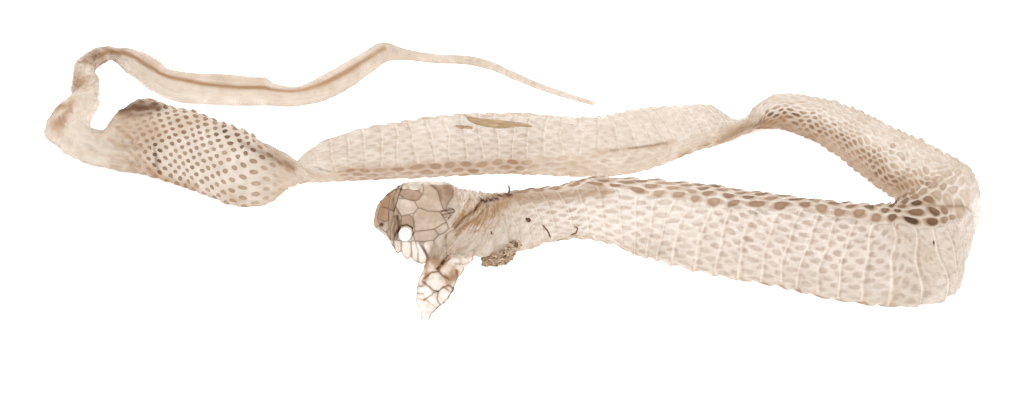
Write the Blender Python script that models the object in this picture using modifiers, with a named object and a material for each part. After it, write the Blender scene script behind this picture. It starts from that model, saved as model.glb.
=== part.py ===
"""Shed snake skin: one dry skin lying in open folds, with a clump of soil stuck under its neck.

Run with blender --background --python part.py. Metres, +Z up, the surface it rests on is z = 0.
Lengths below are in millimetres, in the layout of the photograph: +X to the right, +Y away.
"""

import math

import bmesh
import bpy
from mathutils import Vector

MM = 0.001

# The skin's route from snout to tail tip. Each station has the centre in plan, the height of its
# lowest point, the flattened width and thickness, and the lean of the width from the ground in
# degrees. A lean of 0 to 90 degrees raises the edge on the left of the way the route runs.
STATIONS = [
    # x, y, base, width, thickness, lean
    # head, snout first
    (-36.8, -65.5, 15.5, 8.0, 4.5, 50.0),
    (-35.0, -66.0, 14.0, 12.5, 7.0, 50.0),
    (-32.0, -67.0, 12.5, 17.0, 8.5, 50.0),
    (-27.0, -68.5, 11.0, 20.5, 9.0, 50.0),
    (-20.0, -70.0, 11.0, 21.0, 9.0, 50.0),
    # neck, raised on the clump of soil
    (-14.0, -69.5, 11.0, 19.5, 8.5, 50.0),
    (-7.0, -65.5, 10.0, 18.0, 8.0, 47.0),
    (0.0, -58.5, 8.0, 17.0, 8.5, 45.0),
    (8.0, -51.5, 7.5, 16.0, 9.0, 45.0),
    (16.0, -46.5, 6.5, 16.5, 9.5, 45.0),
    (26.0, -42.5, 4.5, 20.0, 10.0, 45.0),
    (36.0, -41.0, 1.0, 23.0, 11.0, 45.0),
    # front run
    (45.0, -43.5, 0.0, 24.5, 11.5, 45.0),
    (54.0, -50.0, 0.0, 26.0, 12.0, 45.0),
    (64.0, -56.0, 0.0, 26.5, 12.0, 45.0),
    (78.0, -63.0, 0.0, 27.0, 12.0, 46.0),
    (92.0, -71.0, 0.0, 28.0, 12.0, 47.0),
    (105.0, -75.5, 0.0, 28.5, 12.0, 50.0),
    # right bend
    (114.0, -72.5, 0.0, 29.0, 12.0, 58.0),
    (122.0, -61.5, 0.0, 28.0, 11.5, 74.0),
    (129.5, -46.5, 0.0, 26.5, 11.5, 88.0),
    (133.0, -31.5, 0.0, 22.5, 12.0, 93.0),
    # back run
    (130.5, -12.5, 0.0, 20.5, 11.0, 104.0),
    (126.5, 8.5, 0.0, 19.0, 10.5, 114.0),
    (122.0, 30.0, 0.0, 17.5, 10.0, 117.0),
    (117.0, 51.0, 0.0, 16.0, 9.5, 118.0),
    (110.5, 69.0, 0.0, 14.5, 9.0, 118.0),
    (101.5, 78.5, 0.0, 12.8, 8.0, 110.0),
    # first twist
    (92.0, 77.0, 0.2, 10.0, 6.5, 80.0),
    (84.5, 69.5, 0.8, 7.5, 5.0, 10.0),
    (76.0, 65.0, 1.5, 10.0, 5.0, -40.0),
    # far run
    (67.5, 59.0, 0.5, 14.5, 6.5, -48.0),
    (57.0, 50.0, 0.0, 19.0, 8.5, -50.0),
    (46.0, 39.0, 0.0, 21.5, 9.5, -50.0),
    (34.0, 31.0, 0.0, 22.5, 9.5, -50.0),
    (18.0, 30.0, 0.0, 21.5, 9.5, -50.0),
    (0.0, 32.5, 0.0, 21.5, 9.5, -50.0),
    (-20.0, 31.0, 0.0, 21.5, 9.5, -50.0),
    (-38.0, 27.0, 0.0, 19.5, 9.0, -50.0),
    (-52.0, 24.5, 0.0, 17.5, 8.0, -50.0),
    # second twist
    (-64.0, 20.0, 0.5, 12.5, 6.0, -45.0),
    (-71.0, 12.0, 1.5, 9.0, 6.0, 10.0),
    (-75.5, 2.0, 0.5, 16.0, 8.0, 80.0),
    # dotted run
    (-83.0, -2.0, 0.0, 22.0, 10.0, 112.0),
    (-93.5, 5.5, 0.0, 23.5, 10.5, 116.0),
    (-104.5, 16.5, 0.0, 24.0, 10.5, 116.0),
    (-116.0, 25.5, 0.0, 24.5, 11.0, 118.0),
    (-125.0, 32.0, 0.0, 25.0, 10.0, 120.0),
    (-132.0, 35.0, 0.0, 24.5, 9.0, 124.0),
    # left bend
    (-138.5, 39.0, 0.0, 23.0, 8.0, 132.0),
    (-146.0, 48.0, 0.0, 22.0, 7.0, 142.0),
    (-156.5, 63.0, 0.0, 23.0, 7.0, 150.0),
    (-163.5, 82.0, 0.0, 22.0, 7.0, 148.0),
    (-164.5, 98.0, 0.0, 17.0, 6.5, 143.0),
    (-167.0, 115.0, 0.0, 14.0, 6.0, 140.0),
    (-173.0, 132.0, 0.0, 13.5, 6.0, 132.0),
    (-176.0, 150.0, 0.0, 12.0, 6.0, 112.0),
    (-170.0, 163.0, 0.0, 9.5, 5.5, 85.0),
    # ribbon
    (-158.5, 153.5, 0.0, 11.5, 5.0, 78.0),
    (-145.0, 132.0, 0.0, 13.0, 5.0, 75.0),
    (-131.0, 115.0, 0.0, 13.5, 5.0, 75.0),
    (-113.0, 110.0, 0.0, 13.0, 5.0, 75.0),
    (-97.0, 109.0, 0.0, 11.5, 5.0, 75.0),
    (-84.5, 108.0, 0.0, 8.8, 4.5, 75.0),
    (-75.0, 116.0, 0.0, 10.0, 4.5, 75.0),
    (-67.5, 134.0, 0.0, 10.0, 4.5, 75.0),
    (-60.5, 157.0, 0.0, 9.5, 4.0, 75.0),
    (-54.5, 177.0, 0.0, 8.0, 4.0, 75.0),
    # tail
    (-46.0, 178.5, 0.0, 4.5, 3.5, 75.0),
    (-33.0, 173.0, 0.0, 3.8, 3.0, 75.0),
    (-20.0, 171.0, 0.0, 3.6, 2.8, 75.0),
    (-9.0, 162.0, 0.0, 3.4, 2.6, 75.0),
    (1.0, 146.0, 0.0, 3.0, 2.4, 75.0),
    (11.0, 131.0, 0.0, 2.6, 2.2, 75.0),
    (21.0, 119.0, 0.0, 2.2, 2.0, 75.0),
    (32.0, 108.0, 0.0, 1.6, 1.4, 75.0),
]
LAYOUT_CENTRE = (-21.0, 42.6)     # middle of the finished object in plan, moved to the origin

RING_POINTS = 12
BELLY_SCALE_PITCH = 6.0           # one belly scale on the body
TAIL_SCALE_PITCH = 4.0            # one belly scale near the tail tip
SCALE_STEP = 0.4                  # each belly scale's back edge stands this far off the next
STEP_SHARE = 0.12                 # share of the pitch that the step down takes
HEAD_LENGTH = 24.0                # the head has plates and no belly scales
HEAD_RING_PITCH = 2.4
TAIL_SHARE = 0.84                 # past this share of the length the tail is too thin for steps

EYE_CAP_LENGTH = 9.5              # from the snout to the clear caps over the eyes
EYE_CAP_RADIUS = 2.2
EYE_CAP_SINK = 1.0
EYE_CAP_TURNS = (126.0, 42.0)     # degrees around the head's cross-section

# The torn skin of the lower jaw, from inside the neck down to its tip on the ground.
JAW_LINES = [
    # x, y, height, half width
    (-16.5, -71.0, 16.5, 6.0),
    (-16.5, -76.0, 12.5, 6.6),
    (-17.5, -80.0, 9.6, 6.2),
    (-19.0, -84.0, 6.6, 5.0),
    (-20.5, -88.0, 3.8, 4.2),
    (-22.0, -91.5, 1.7, 3.0),
    (-22.5, -94.0, 0.6, 1.4),
]
JAW_THICKNESS = 1.0
JAW_COLUMNS = 4
JAW_BOW = 1.2                     # the middle of the strip stands this far forward of its edges

CLUMP_CENTRE = (-4.2, -66.5, 5.7)
CLUMP_RADII = (4.9, 3.8, 2.6)
CLUMP_ROUGHNESS = 0.14            # height of the lumps as a share of the radius

SKIN_COLOUR = (0.68, 0.57, 0.46)
SOIL_COLOUR = (0.15, 0.12, 0.07)


def clear_scene():
    for item in list(bpy.data.objects):
        bpy.data.objects.remove(item, do_unlink=True)


def new_collection(name):
    collection = bpy.data.collections.new(name)
    bpy.context.scene.collection.children.link(collection)
    return collection


def new_material(name, colour, roughness):
    material = bpy.data.materials.new(name)
    material.use_nodes = True
    shader = material.node_tree.nodes["Principled BSDF"]
    shader.inputs["Base Color"].default_value = (*colour, 1.0)
    shader.inputs["Roughness"].default_value = roughness
    shader.inputs["Metallic"].default_value = 0.0
    return material


def in_frame(x, y, z):
    """A layout point in millimetres as a point of the finished object in metres."""
    return Vector((x - LAYOUT_CENTRE[0], y - LAYOUT_CENTRE[1], z)) * MM


def new_object(name, data, collection, material):
    item = bpy.data.objects.new(name, data)
    collection.objects.link(item)
    data.materials.append(material)
    return item


def hermite(values, lengths, at):
    """Value at the length `at` on a smooth curve through the stations' values."""
    last = len(lengths) - 1
    span = max(i for i in range(last) if lengths[i] <= at or i == 0)
    gap = lengths[span + 1] - lengths[span]
    share = min(max((at - lengths[span]) / gap, 0.0), 1.0)

    def slope(i):
        low, high = max(i - 1, 0), min(i + 1, last)
        return (values[high] - values[low]) / (lengths[high] - lengths[low])

    start, end = slope(span) * gap, slope(span + 1) * gap
    cubic = 2 * values[span] - 2 * values[span + 1] + start + end
    square = -3 * values[span] + 3 * values[span + 1] - 2 * start - end
    return ((cubic * share + square) * share + start) * share + values[span]


def route_lengths():
    lengths = [0.0]
    for here, following in zip(STATIONS, STATIONS[1:]):
        lengths.append(lengths[-1] + math.dist(here[:2], following[:2]))
    return lengths


def cross_section(lengths, at, swell):
    """Middle, width vector and thickness vector of the flattened skin at one length."""
    columns = list(zip(*STATIONS))
    x, y, base, width, thickness, lean = [hermite(column, lengths, at) for column in columns]
    ahead = [hermite(column, lengths, min(at + 1.0, lengths[-1])) for column in columns[:2]]
    behind = [hermite(column, lengths, max(at - 1.0, 0.0)) for column in columns[:2]]
    along = Vector((ahead[0] - behind[0], ahead[1] - behind[1], 0)).normalized()
    left = Vector((-along.y, along.x, 0))
    up = Vector((0, 0, 1))
    lean = math.radians(lean)
    across = (left * math.cos(lean) + up * math.sin(lean)) * (width / 2 + swell)
    out = (up * math.cos(lean) - left * math.sin(lean)) * (thickness / 2 + swell)
    middle = Vector((x, y, base + math.hypot(across.z, out.z)))
    return middle, across, out


def ring(lengths, at, swell):
    """The cross-section's points. Two of them lie side by side at the bottom, so it is flat."""
    middle, across, out = cross_section(lengths, at, swell)
    lowest = math.atan2(out.z, across.z) + math.pi
    points = []
    for i in range(RING_POINTS):
        turn = lowest + (i + 0.5) * math.tau / RING_POINTS
        points.append(middle + across * math.cos(turn) + out * math.sin(turn))
    gap = min(point.z for point in points) - (middle.z - math.hypot(across.z, out.z))
    for point in points:
        point.z = max(point.z - gap, 0.0)
    return [in_frame(*point) for point in points]


def ring_places(total):
    """Lengths of the rings, and how far each swells: a saw-tooth of one tooth a belly scale."""
    places = [(i * HEAD_RING_PITCH, 0.0) for i in range(int(HEAD_LENGTH / HEAD_RING_PITCH))]
    at = HEAD_LENGTH
    while at < total - TAIL_SCALE_PITCH:
        share = at / total
        pitch = BELLY_SCALE_PITCH + (TAIL_SCALE_PITCH - BELLY_SCALE_PITCH) * share ** 2
        swell = SCALE_STEP * (1 - share) / 2
        places.append((at, -swell))
        if share < TAIL_SHARE:
            places.append((at + pitch * (1 - STEP_SHARE), swell))
        at += pitch
    places.append((total, 0.0))
    return places


def tube(collection, material):
    """The head and the body as one loft along the route."""
    lengths = route_lengths()
    mesh = bmesh.new()
    loops = []
    for at, swell in ring_places(lengths[-1]):
        loops.append([mesh.verts.new(point) for point in ring(lengths, at, swell)])
    for here, following in zip(loops, loops[1:]):
        for i in range(RING_POINTS):
            j = (i + 1) % RING_POINTS
            mesh.faces.new((here[i], here[j], following[j], following[i]))
    mesh.faces.new(loops[0])
    mesh.faces.new(loops[-1])
    bmesh.ops.recalc_face_normals(mesh, faces=mesh.faces)
    data = bpy.data.meshes.new("shed_skin")
    mesh.to_mesh(data)
    mesh.free()
    return new_object("shed_skin", data, collection, material)


def eye_cap(number, turn, collection, material):
    """A clear cap over an eye: a small ball that is mostly sunk in the head."""
    middle, across, out = cross_section(route_lengths(), EYE_CAP_LENGTH, 0.0)
    turn = math.radians(turn)
    outward = across * math.cos(turn) + out * math.sin(turn)
    centre = middle + outward * (1 - EYE_CAP_SINK / outward.length)
    bpy.ops.mesh.primitive_uv_sphere_add(
        segments=12, ring_count=8, radius=EYE_CAP_RADIUS * MM, location=in_frame(*centre))
    return finish_cutter(bpy.context.object, f"eye_cap_{number}", collection, material)


def jaw_skin(collection, material):
    """The torn lower jaw: a strip of sheet bent along JAW_LINES and given its thickness."""
    rows = len(JAW_LINES) - 1
    bpy.ops.mesh.primitive_grid_add(x_subdivisions=JAW_COLUMNS, y_subdivisions=rows, size=2)
    strip = bpy.context.object
    for vertex in strip.data.vertices:
        side = vertex.co.x
        x, y, height, half_width = JAW_LINES[round((1 - vertex.co.y) / 2 * rows)]
        bow = JAW_BOW * (1 - side * side)
        vertex.co = in_frame(x + side * half_width, y - bow, max(height, JAW_THICKNESS / 2))
    thicken = strip.modifiers.new("thickness", "SOLIDIFY")
    thicken.thickness = JAW_THICKNESS * MM
    thicken.offset = 0.0
    bpy.ops.object.modifier_apply(modifier=thicken.name)
    for vertex in strip.data.vertices:
        vertex.co.z = max(vertex.co.z, 0.0)
    return finish_cutter(strip, "jaw_skin", collection, material)


def finish_cutter(item, name, collection, material):
    """Keep a piece that is fused into the skin in the hidden collection."""
    item.name = name
    item.data.name = name
    item.data.materials.append(material)
    for owner in list(item.users_collection):
        owner.objects.unlink(item)
    collection.objects.link(item)
    item.hide_render = True
    item.display_type = "WIRE"
    return item


def fuse(skin, piece):
    union = skin.modifiers.new(piece.name, "BOOLEAN")
    union.operation = "UNION"
    union.solver = "EXACT"
    union.object = piece


def soil_clump(collection, material):
    """Grainy soil stuck under the neck: a flattened ball with lumps of a few sine waves."""
    bpy.ops.mesh.primitive_ico_sphere_add(subdivisions=3, radius=1.0)
    clump = bpy.context.object
    for vertex in clump.data.vertices:
        x, y, z = vertex.co
        lumps = math.sin(5.1 * x + 1.3) * math.sin(4.3 * y) + 0.6 * math.sin(9.7 * z + 7.1 * x)
        swell = 1 + CLUMP_ROUGHNESS * lumps
        place = [centre + radius * share * swell
                 for centre, radius, share in zip(CLUMP_CENTRE, CLUMP_RADII, (x, y, z))]
        vertex.co = in_frame(*place)
    clump.name = "soil_clump"
    clump.data.name = "soil_clump"
    clump.data.materials.append(material)
    for owner in list(clump.users_collection):
        owner.objects.unlink(clump)
    collection.objects.link(clump)
    return clump


def build():
    clear_scene()
    parts = new_collection("shed snake skin")
    hidden = new_collection("pieces fused into the skin")
    skin_material = new_material("dry shed skin", SKIN_COLOUR, 0.5)
    soil_material = new_material("dry soil", SOIL_COLOUR, 0.95)
    skin = tube(parts, skin_material)
    for number, turn in enumerate(EYE_CAP_TURNS):
        fuse(skin, eye_cap(number, turn, hidden, skin_material))
    fuse(skin, jaw_skin(hidden, skin_material))
    soil_clump(parts, soil_material)


build()
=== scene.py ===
import math

import bmesh
import bpy
import numpy as np
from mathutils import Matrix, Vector, noise


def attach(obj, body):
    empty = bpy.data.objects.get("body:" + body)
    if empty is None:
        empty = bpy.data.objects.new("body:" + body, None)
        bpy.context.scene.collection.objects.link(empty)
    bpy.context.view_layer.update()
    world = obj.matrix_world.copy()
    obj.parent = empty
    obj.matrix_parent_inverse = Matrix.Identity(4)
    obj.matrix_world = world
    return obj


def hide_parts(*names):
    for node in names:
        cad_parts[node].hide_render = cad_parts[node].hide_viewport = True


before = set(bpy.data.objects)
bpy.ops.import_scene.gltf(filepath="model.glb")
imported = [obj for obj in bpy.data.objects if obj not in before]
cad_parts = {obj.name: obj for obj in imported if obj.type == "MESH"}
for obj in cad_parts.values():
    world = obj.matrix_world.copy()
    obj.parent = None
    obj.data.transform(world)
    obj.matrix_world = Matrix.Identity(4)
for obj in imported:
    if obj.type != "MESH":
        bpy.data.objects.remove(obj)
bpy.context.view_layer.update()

bpy.ops.object.select_all(action="DESELECT")


# ---------------------------------------------------------------------------------------------
# The body of the skin: the dry outer layer of a slender snake, a tube of clear keratin about a
# tenth of a millimetre thick. It came off whole, and has dried flattened, lying in open folds.
# Its belly carries one wide scale after another, and its back nineteen rows of small ones.
# ---------------------------------------------------------------------------------------------

MM = 0.001
LAYOUT_CENTRE = (-21.0, 42.6)     # mm, the middle of the layout, moved to the origin

# The route from snout to tail tip, in mm: centre in plan, height of the lowest point, flattened
# width and thickness, and the lean of the width from the ground in degrees.
STATIONS = [
    # head
    (-36.8, -65.5, 15.5, 8.0, 4.5, 50.0),
    (-35.0, -66.0, 14.0, 12.5, 7.0, 50.0),
    (-32.0, -67.0, 12.5, 17.0, 8.5, 50.0),
    (-27.0, -68.5, 11.0, 20.5, 9.0, 50.0),
    (-20.0, -70.0, 11.0, 21.0, 9.0, 50.0),
    # neck
    (-14.0, -69.5, 11.0, 19.5, 8.5, 50.0),
    (-7.0, -65.5, 10.0, 18.0, 8.0, 47.0),
    (0.0, -58.5, 8.0, 17.0, 8.5, 45.0),
    (8.0, -51.5, 7.5, 16.0, 9.0, 45.0),
    (16.0, -46.5, 6.5, 16.5, 9.5, 45.0),
    (26.0, -42.5, 4.5, 20.0, 10.0, 45.0),
    (36.0, -41.0, 1.0, 23.0, 11.0, 45.0),
    # front run
    (45.0, -43.5, 0.0, 24.5, 11.5, 45.0),
    (54.0, -50.0, 0.0, 26.0, 12.0, 45.0),
    (64.0, -56.0, 0.0, 26.5, 12.0, 45.0),
    (78.0, -63.0, 0.0, 27.0, 12.0, 46.0),
    (92.0, -71.0, 0.0, 28.0, 12.0, 47.0),
    (105.0, -75.5, 0.0, 28.5, 12.0, 50.0),
    # right bend
    (114.0, -72.5, 0.0, 29.0, 12.0, 58.0),
    (122.0, -61.5, 0.0, 28.0, 11.5, 74.0),
    (129.5, -46.5, 0.0, 26.5, 11.5, 88.0),
    (133.0, -31.5, 0.0, 22.5, 12.0, 93.0),
    # back run
    (130.5, -12.5, 0.0, 20.5, 11.0, 104.0),
    (126.5, 8.5, 0.0, 19.0, 10.5, 114.0),
    (122.0, 30.0, 0.0, 17.5, 10.0, 117.0),
    (117.0, 51.0, 0.0, 16.0, 9.5, 118.0),
    (110.5, 69.0, 0.0, 14.5, 9.0, 118.0),
    (101.5, 78.5, 0.0, 12.8, 8.0, 110.0),
    # first twist
    (92.0, 77.0, 0.2, 10.0, 6.5, 80.0),
    (84.5, 69.5, 0.8, 7.5, 5.0, 10.0),
    (76.0, 65.0, 1.5, 10.0, 5.0, -40.0),
    # far run
    (67.5, 59.0, 0.5, 14.5, 6.5, -48.0),
    (57.0, 50.0, 0.0, 19.0, 8.5, -50.0),
    (46.0, 39.0, 0.0, 21.5, 9.5, -50.0),
    (34.0, 31.0, 0.0, 22.5, 9.5, -50.0),
    (18.0, 30.0, 0.0, 21.5, 9.5, -50.0),
    (0.0, 32.5, 0.0, 21.5, 9.5, -50.0),
    (-20.0, 31.0, 0.0, 21.5, 9.5, -50.0),
    (-38.0, 27.0, 0.0, 19.5, 9.0, -50.0),
    (-52.0, 24.5, 0.0, 17.5, 8.0, -50.0),
    # second twist
    (-64.0, 20.0, 0.5, 12.5, 6.0, -45.0),
    (-71.0, 12.0, 1.5, 9.0, 6.0, 10.0),
    (-75.5, 2.0, 0.5, 16.0, 8.0, 80.0),
    # dotted run
    (-83.0, -2.0, 0.0, 22.0, 10.0, 112.0),
    (-93.5, 5.5, 0.0, 23.5, 10.5, 116.0),
    (-104.5, 16.5, 0.0, 24.0, 10.5, 116.0),
    (-116.0, 25.5, 0.0, 24.5, 11.0, 118.0),
    (-125.0, 32.0, 0.0, 25.0, 10.0, 120.0),
    (-132.0, 35.0, 0.0, 24.5, 9.0, 124.0),
    # left bend
    (-138.5, 39.0, 0.0, 23.0, 8.0, 132.0),
    (-146.0, 48.0, 0.0, 22.0, 7.0, 142.0),
    (-156.5, 63.0, 0.0, 23.0, 7.0, 150.0),
    (-163.5, 82.0, 0.0, 22.0, 7.0, 148.0),
    (-164.5, 98.0, 0.0, 17.0, 6.5, 143.0),
    (-167.0, 115.0, 0.0, 14.0, 6.0, 140.0),
    (-173.0, 132.0, 0.0, 13.5, 6.0, 132.0),
    (-176.0, 150.0, 0.0, 12.0, 6.0, 112.0),
    (-170.0, 163.0, 0.0, 9.5, 5.5, 85.0),
    # ribbon
    (-158.5, 153.5, 0.0, 11.5, 5.0, 78.0),
    (-145.0, 132.0, 0.0, 13.0, 5.0, 75.0),
    (-131.0, 115.0, 0.0, 13.5, 5.0, 75.0),
    (-113.0, 110.0, 0.0, 13.0, 5.0, 75.0),
    (-97.0, 109.0, 0.0, 11.5, 5.0, 75.0),
    (-84.5, 108.0, 0.0, 8.8, 4.5, 75.0),
    (-75.0, 116.0, 0.0, 10.0, 4.5, 75.0),
    (-67.5, 134.0, 0.0, 10.0, 4.5, 75.0),
    (-60.5, 157.0, 0.0, 9.5, 4.0, 75.0),
    (-54.5, 177.0, 0.0, 8.0, 4.0, 75.0),
    # tail
    (-46.0, 178.5, 0.0, 4.5, 3.5, 75.0),
    (-33.0, 173.0, 0.0, 3.8, 3.0, 75.0),
    (-20.0, 171.0, 0.0, 3.6, 2.8, 75.0),
    (-9.0, 162.0, 0.0, 3.4, 2.6, 75.0),
    (1.0, 146.0, 0.0, 3.0, 2.4, 75.0),
    (11.0, 131.0, 0.0, 2.6, 2.2, 75.0),
    (21.0, 119.0, 0.0, 2.2, 2.0, 75.0),
    (32.0, 108.0, 0.0, 1.6, 1.4, 75.0),
]
ROUTE = np.array(STATIONS)
ROUTE_LENGTHS = np.concatenate(([0.0], np.cumsum(np.hypot(*np.diff(ROUTE[:, :2], axis=0).T))))
TAIL_TIP = float(ROUTE_LENGTHS[-1])

# The keys below go by length from the snout, in mm. A turn is the share of the way round the
# flattened section, from the raised edge towards the belly side of the width.
SPINE_TURN = [(20, 0.235), (27, 0.12), (36, -0.10), (45, -0.23), (66, -0.22), (72, -0.183),
              (78, -0.17), (92, -0.142), (100, -0.132), (112, -0.142), (120, -0.172),
              (130, -0.195), (150, -0.193), (159, -0.175), (164, -0.135), (172, -0.125),
              (190, -0.2), (225, -0.28), (335, -0.28), (352, -0.22), (370, -0.165),
              (430, -0.165), (446, -0.215), (610, -0.22), (650, -0.25), (700, -0.10),
              (757, 0.13), (800, 0.14), (820, 0.19), (842, 0.21), (860, 0.14), (900, 0.16),
              (1048, 0.15)]
# Length of one belly scale.
SCALE_PITCH = [(20, 4.4), (48, 5.4), (60, 5.9), (110, 6.1), (125, 6.3), (134, 5.0), (150, 5.6),
               (160, 4.6), (172, 4.4), (185, 5.6), (330, 5.6), (345, 4.6), (365, 4.6),
               (380, 5.75), (510, 5.6), (524, 3.6), (540, 3.8), (552, 5.2), (600, 5.2),
               (640, 5.0), (760, 4.6), (930, 3.6), (1048, 2.2)]
# Depth of the soft dents, and of the lengthwise crumpling.
DENT_DEPTH = [(20, 0.5), (45, 0.4), (70, 0.45), (160, 0.6), (330, 0.6), (350, 0.4), (430, 0.5),
              (520, 0.4), (560, 0.6), (600, 0.9), (640, 1.3), (740, 0.9), (780, 0.5),
              (930, 0.3), (1048, 0.0)]
CRUMPLE_DEPTH = [(20, 0.3), (34, 0.3), (46, 0.2), (80, 0.1), (330, 0.1), (346, 0.3), (352, 0.35),
                 (380, 0.12), (500, 0.15), (515, 0.5), (532, 0.45), (560, 0.1),
                 (585, 0.2), (606, 0.8), (700, 0.8), (745, 0.6), (760, 0.35), (800, 0.12),
                 (930, 0.05), (1048, 0.0)]
# Depth of the slanting strips that the crumpled skin of the neck is drawn into, and how plainly
# the brown net between its bare cells shows.
NECK_FOLDS = [(21, 0.0), (24, 0.4), (34, 0.4), (41, 0.25), (50, 0.0), (1048, 0.0)]
NECK_NET = [(24, 0.8), (40, 0.6), (48, 0.0)]
# How brown the scales are on the spine, on the flank by the raised edge and on the other flank.
SPINE_TONE = [(20, 0.02), (32, 0.08), (44, 0.3), (60, 0.42), (80, 0.42), (150, 0.48), (170, 0.58),
              (210, 0.4), (250, 0.34), (330, 0.34), (356, 0.38), (380, 0.42), (520, 0.4),
              (540, 0.5), (600, 0.6), (625, 0.1), (700, 0.1), (740, 0.24), (860, 0.3),
              (900, 0.22), (1048, 0.14)]
RAISED_TONE = [(20, 0.04), (32, 0.12), (44, 0.42), (50, 0.5), (75, 0.55), (100, 0.6),
               (125, 0.64), (150, 0.68), (168, 0.72), (178, 0.42), (192, 0.24), (215, 0.15),
               (330, 0.15), (350, 0.2), (366, 0.25), (400, 0.3), (440, 0.34), (450, 0.42),
               (505, 0.4), (520, 0.22), (545, 0.45), (600, 0.66), (625, 0.1), (700, 0.12),
               (735, 0.26), (760, 0.34), (840, 0.36), (890, 0.28), (930, 0.2), (1048, 0.14)]
OTHER_TONE = [(20, 0.02), (40, 0.2), (60, 0.36), (150, 0.42), (180, 0.46), (230, 0.36),
              (330, 0.32), (356, 0.28), (376, 0.34), (500, 0.34), (540, 0.38), (556, 0.5),
              (590, 0.58), (610, 0.1), (700, 0.1), (760, 0.26), (860, 0.34), (900, 0.2),
              (1048, 0.14)]
# How much of each small scale is brown, from a dot to the whole of it, lengthwise and across.
DOT_LENGTH = [(20, 0.7), (60, 0.62), (150, 0.62), (185, 0.66), (260, 0.62), (330, 0.62),
              (350, 0.7), (380, 0.62), (500, 0.62), (535, 0.42), (550, 0.4), (560, 0.46),
              (600, 0.46), (640, 0.8), (1048, 0.8)]
RAISED_DOT_LENGTH = [(20, 0.9), (60, 0.7), (160, 0.7), (200, 0.8), (330, 0.8), (350, 0.75),
                     (500, 0.8), (535, 0.42), (550, 0.46), (600, 0.5), (640, 0.8), (1048, 0.8)]
DOT_WIDTH = [(20, 0.85), (60, 0.95), (150, 0.95), (200, 0.88), (330, 0.82), (500, 0.85),
             (535, 1.0), (556, 0.9), (600, 0.85), (640, 0.9), (1048, 0.9)]
# How plainly the scale pattern shows, and how dense the clear skin is.
PATTERN = [(20, 0.0), (24, 0.3), (44, 0.8), (60, 1.0), (330, 1.0), (345, 0.9), (360, 0.8),
           (372, 0.55), (384, 0.55), (420, 0.65), (446, 0.8), (505, 0.75), (520, 0.3),
           (537, 0.2), (543, 0.8), (548, 1.0), (588, 1.0), (600, 0.5), (612, 0.15),
           (740, 0.2), (760, 0.06), (930, 0.06), (945, 0.4), (1048, 0.5)]
COVER = [(20, 0.82), (40, 0.77), (52, 0.7), (70, 0.66), (100, 0.7), (150, 0.74), (160, 0.78),
         (167, 0.88), (178, 0.88), (190, 0.76), (330, 0.74), (352, 0.72), (372, 0.7), (400, 0.7),
         (425, 0.72), (440, 0.78), (500, 0.8), (520, 0.66), (545, 0.88), (600, 0.88), (620, 0.62),
         (640, 0.54), (670, 0.6), (690, 0.64), (730, 0.68), (770, 0.71), (900, 0.73), (935, 0.92),
         (1048, 0.98)]
# How plainly fine brown veins, lengthwise streaks and blotches show on the skin.
VEINS = [(19, 0.9), (30, 0.8), (38, 0.45), (48, 0.0), (1048, 0.0)]
STREAKS = [(19, 0.0), (500, 0.0), (512, 0.25), (536, 0.25), (545, 0.0), (590, 0.05), (604, 0.45),
           (625, 0.18), (650, 0.15), (700, 0.22), (745, 0.25), (765, 0.12), (900, 0.1), (940, 0.0),
           (1048, 0.0)]
BLOTCHES = [(19, 0.0), (190, 0.0), (215, 0.18), (345, 0.2), (362, 0.0), (595, 0.0), (606, 0.25),
            (625, 0.12), (645, 0.25), (700, 0.55), (745, 0.7), (765, 0.08), (1048, 0.08)]
# Torn edges: mm cut off the raised edge of the flattened section, and off the edge opposite. A
# value under zero stands out instead.
RAISED_CUT = [(20, 0.0), (27, -0.6), (36, -1.0), (46, -0.4), (56, 0.0), (354, 0.0), (358, -1.2),
              (363, -1.8), (368, -1.2), (376, 0.0), (612.4, 0.0), (613.4, 8.5), (615, 11.5),
              (618, 12.2), (628, 12.2), (634, 11.4), (640, 9.5), (646, 7.0), (651, 4.0),
              (658, 1.5), (673, 0.8), (685, 2.4), (694, 3.0), (703, 2.0), (716, 1.2),
              (722, 3.0), (727, 2.8), (734, 0.6), (748, 0.0), (762, 0.6), (795, 0.8),
              (799, 1.9), (807, 1.6), (838, 0.9), (847, 0.4), (850, 1.7), (862, 1.2),
              (878, 0.3), (900, 0.0)]
OTHER_CUT = [(348.5, 0.0), (351.5, -1.4), (355, -3.3), (359, -3.5), (364, -2.5), (373, -1.3),
             (386, 0.0), (398, 0.0), (410, 1.1), (418, 1.6), (428, 0.8), (440, 0.0), (734, 0.0),
             (741, 4.2), (750, 4.6), (755, 1.9), (760, 0.0)]
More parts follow.
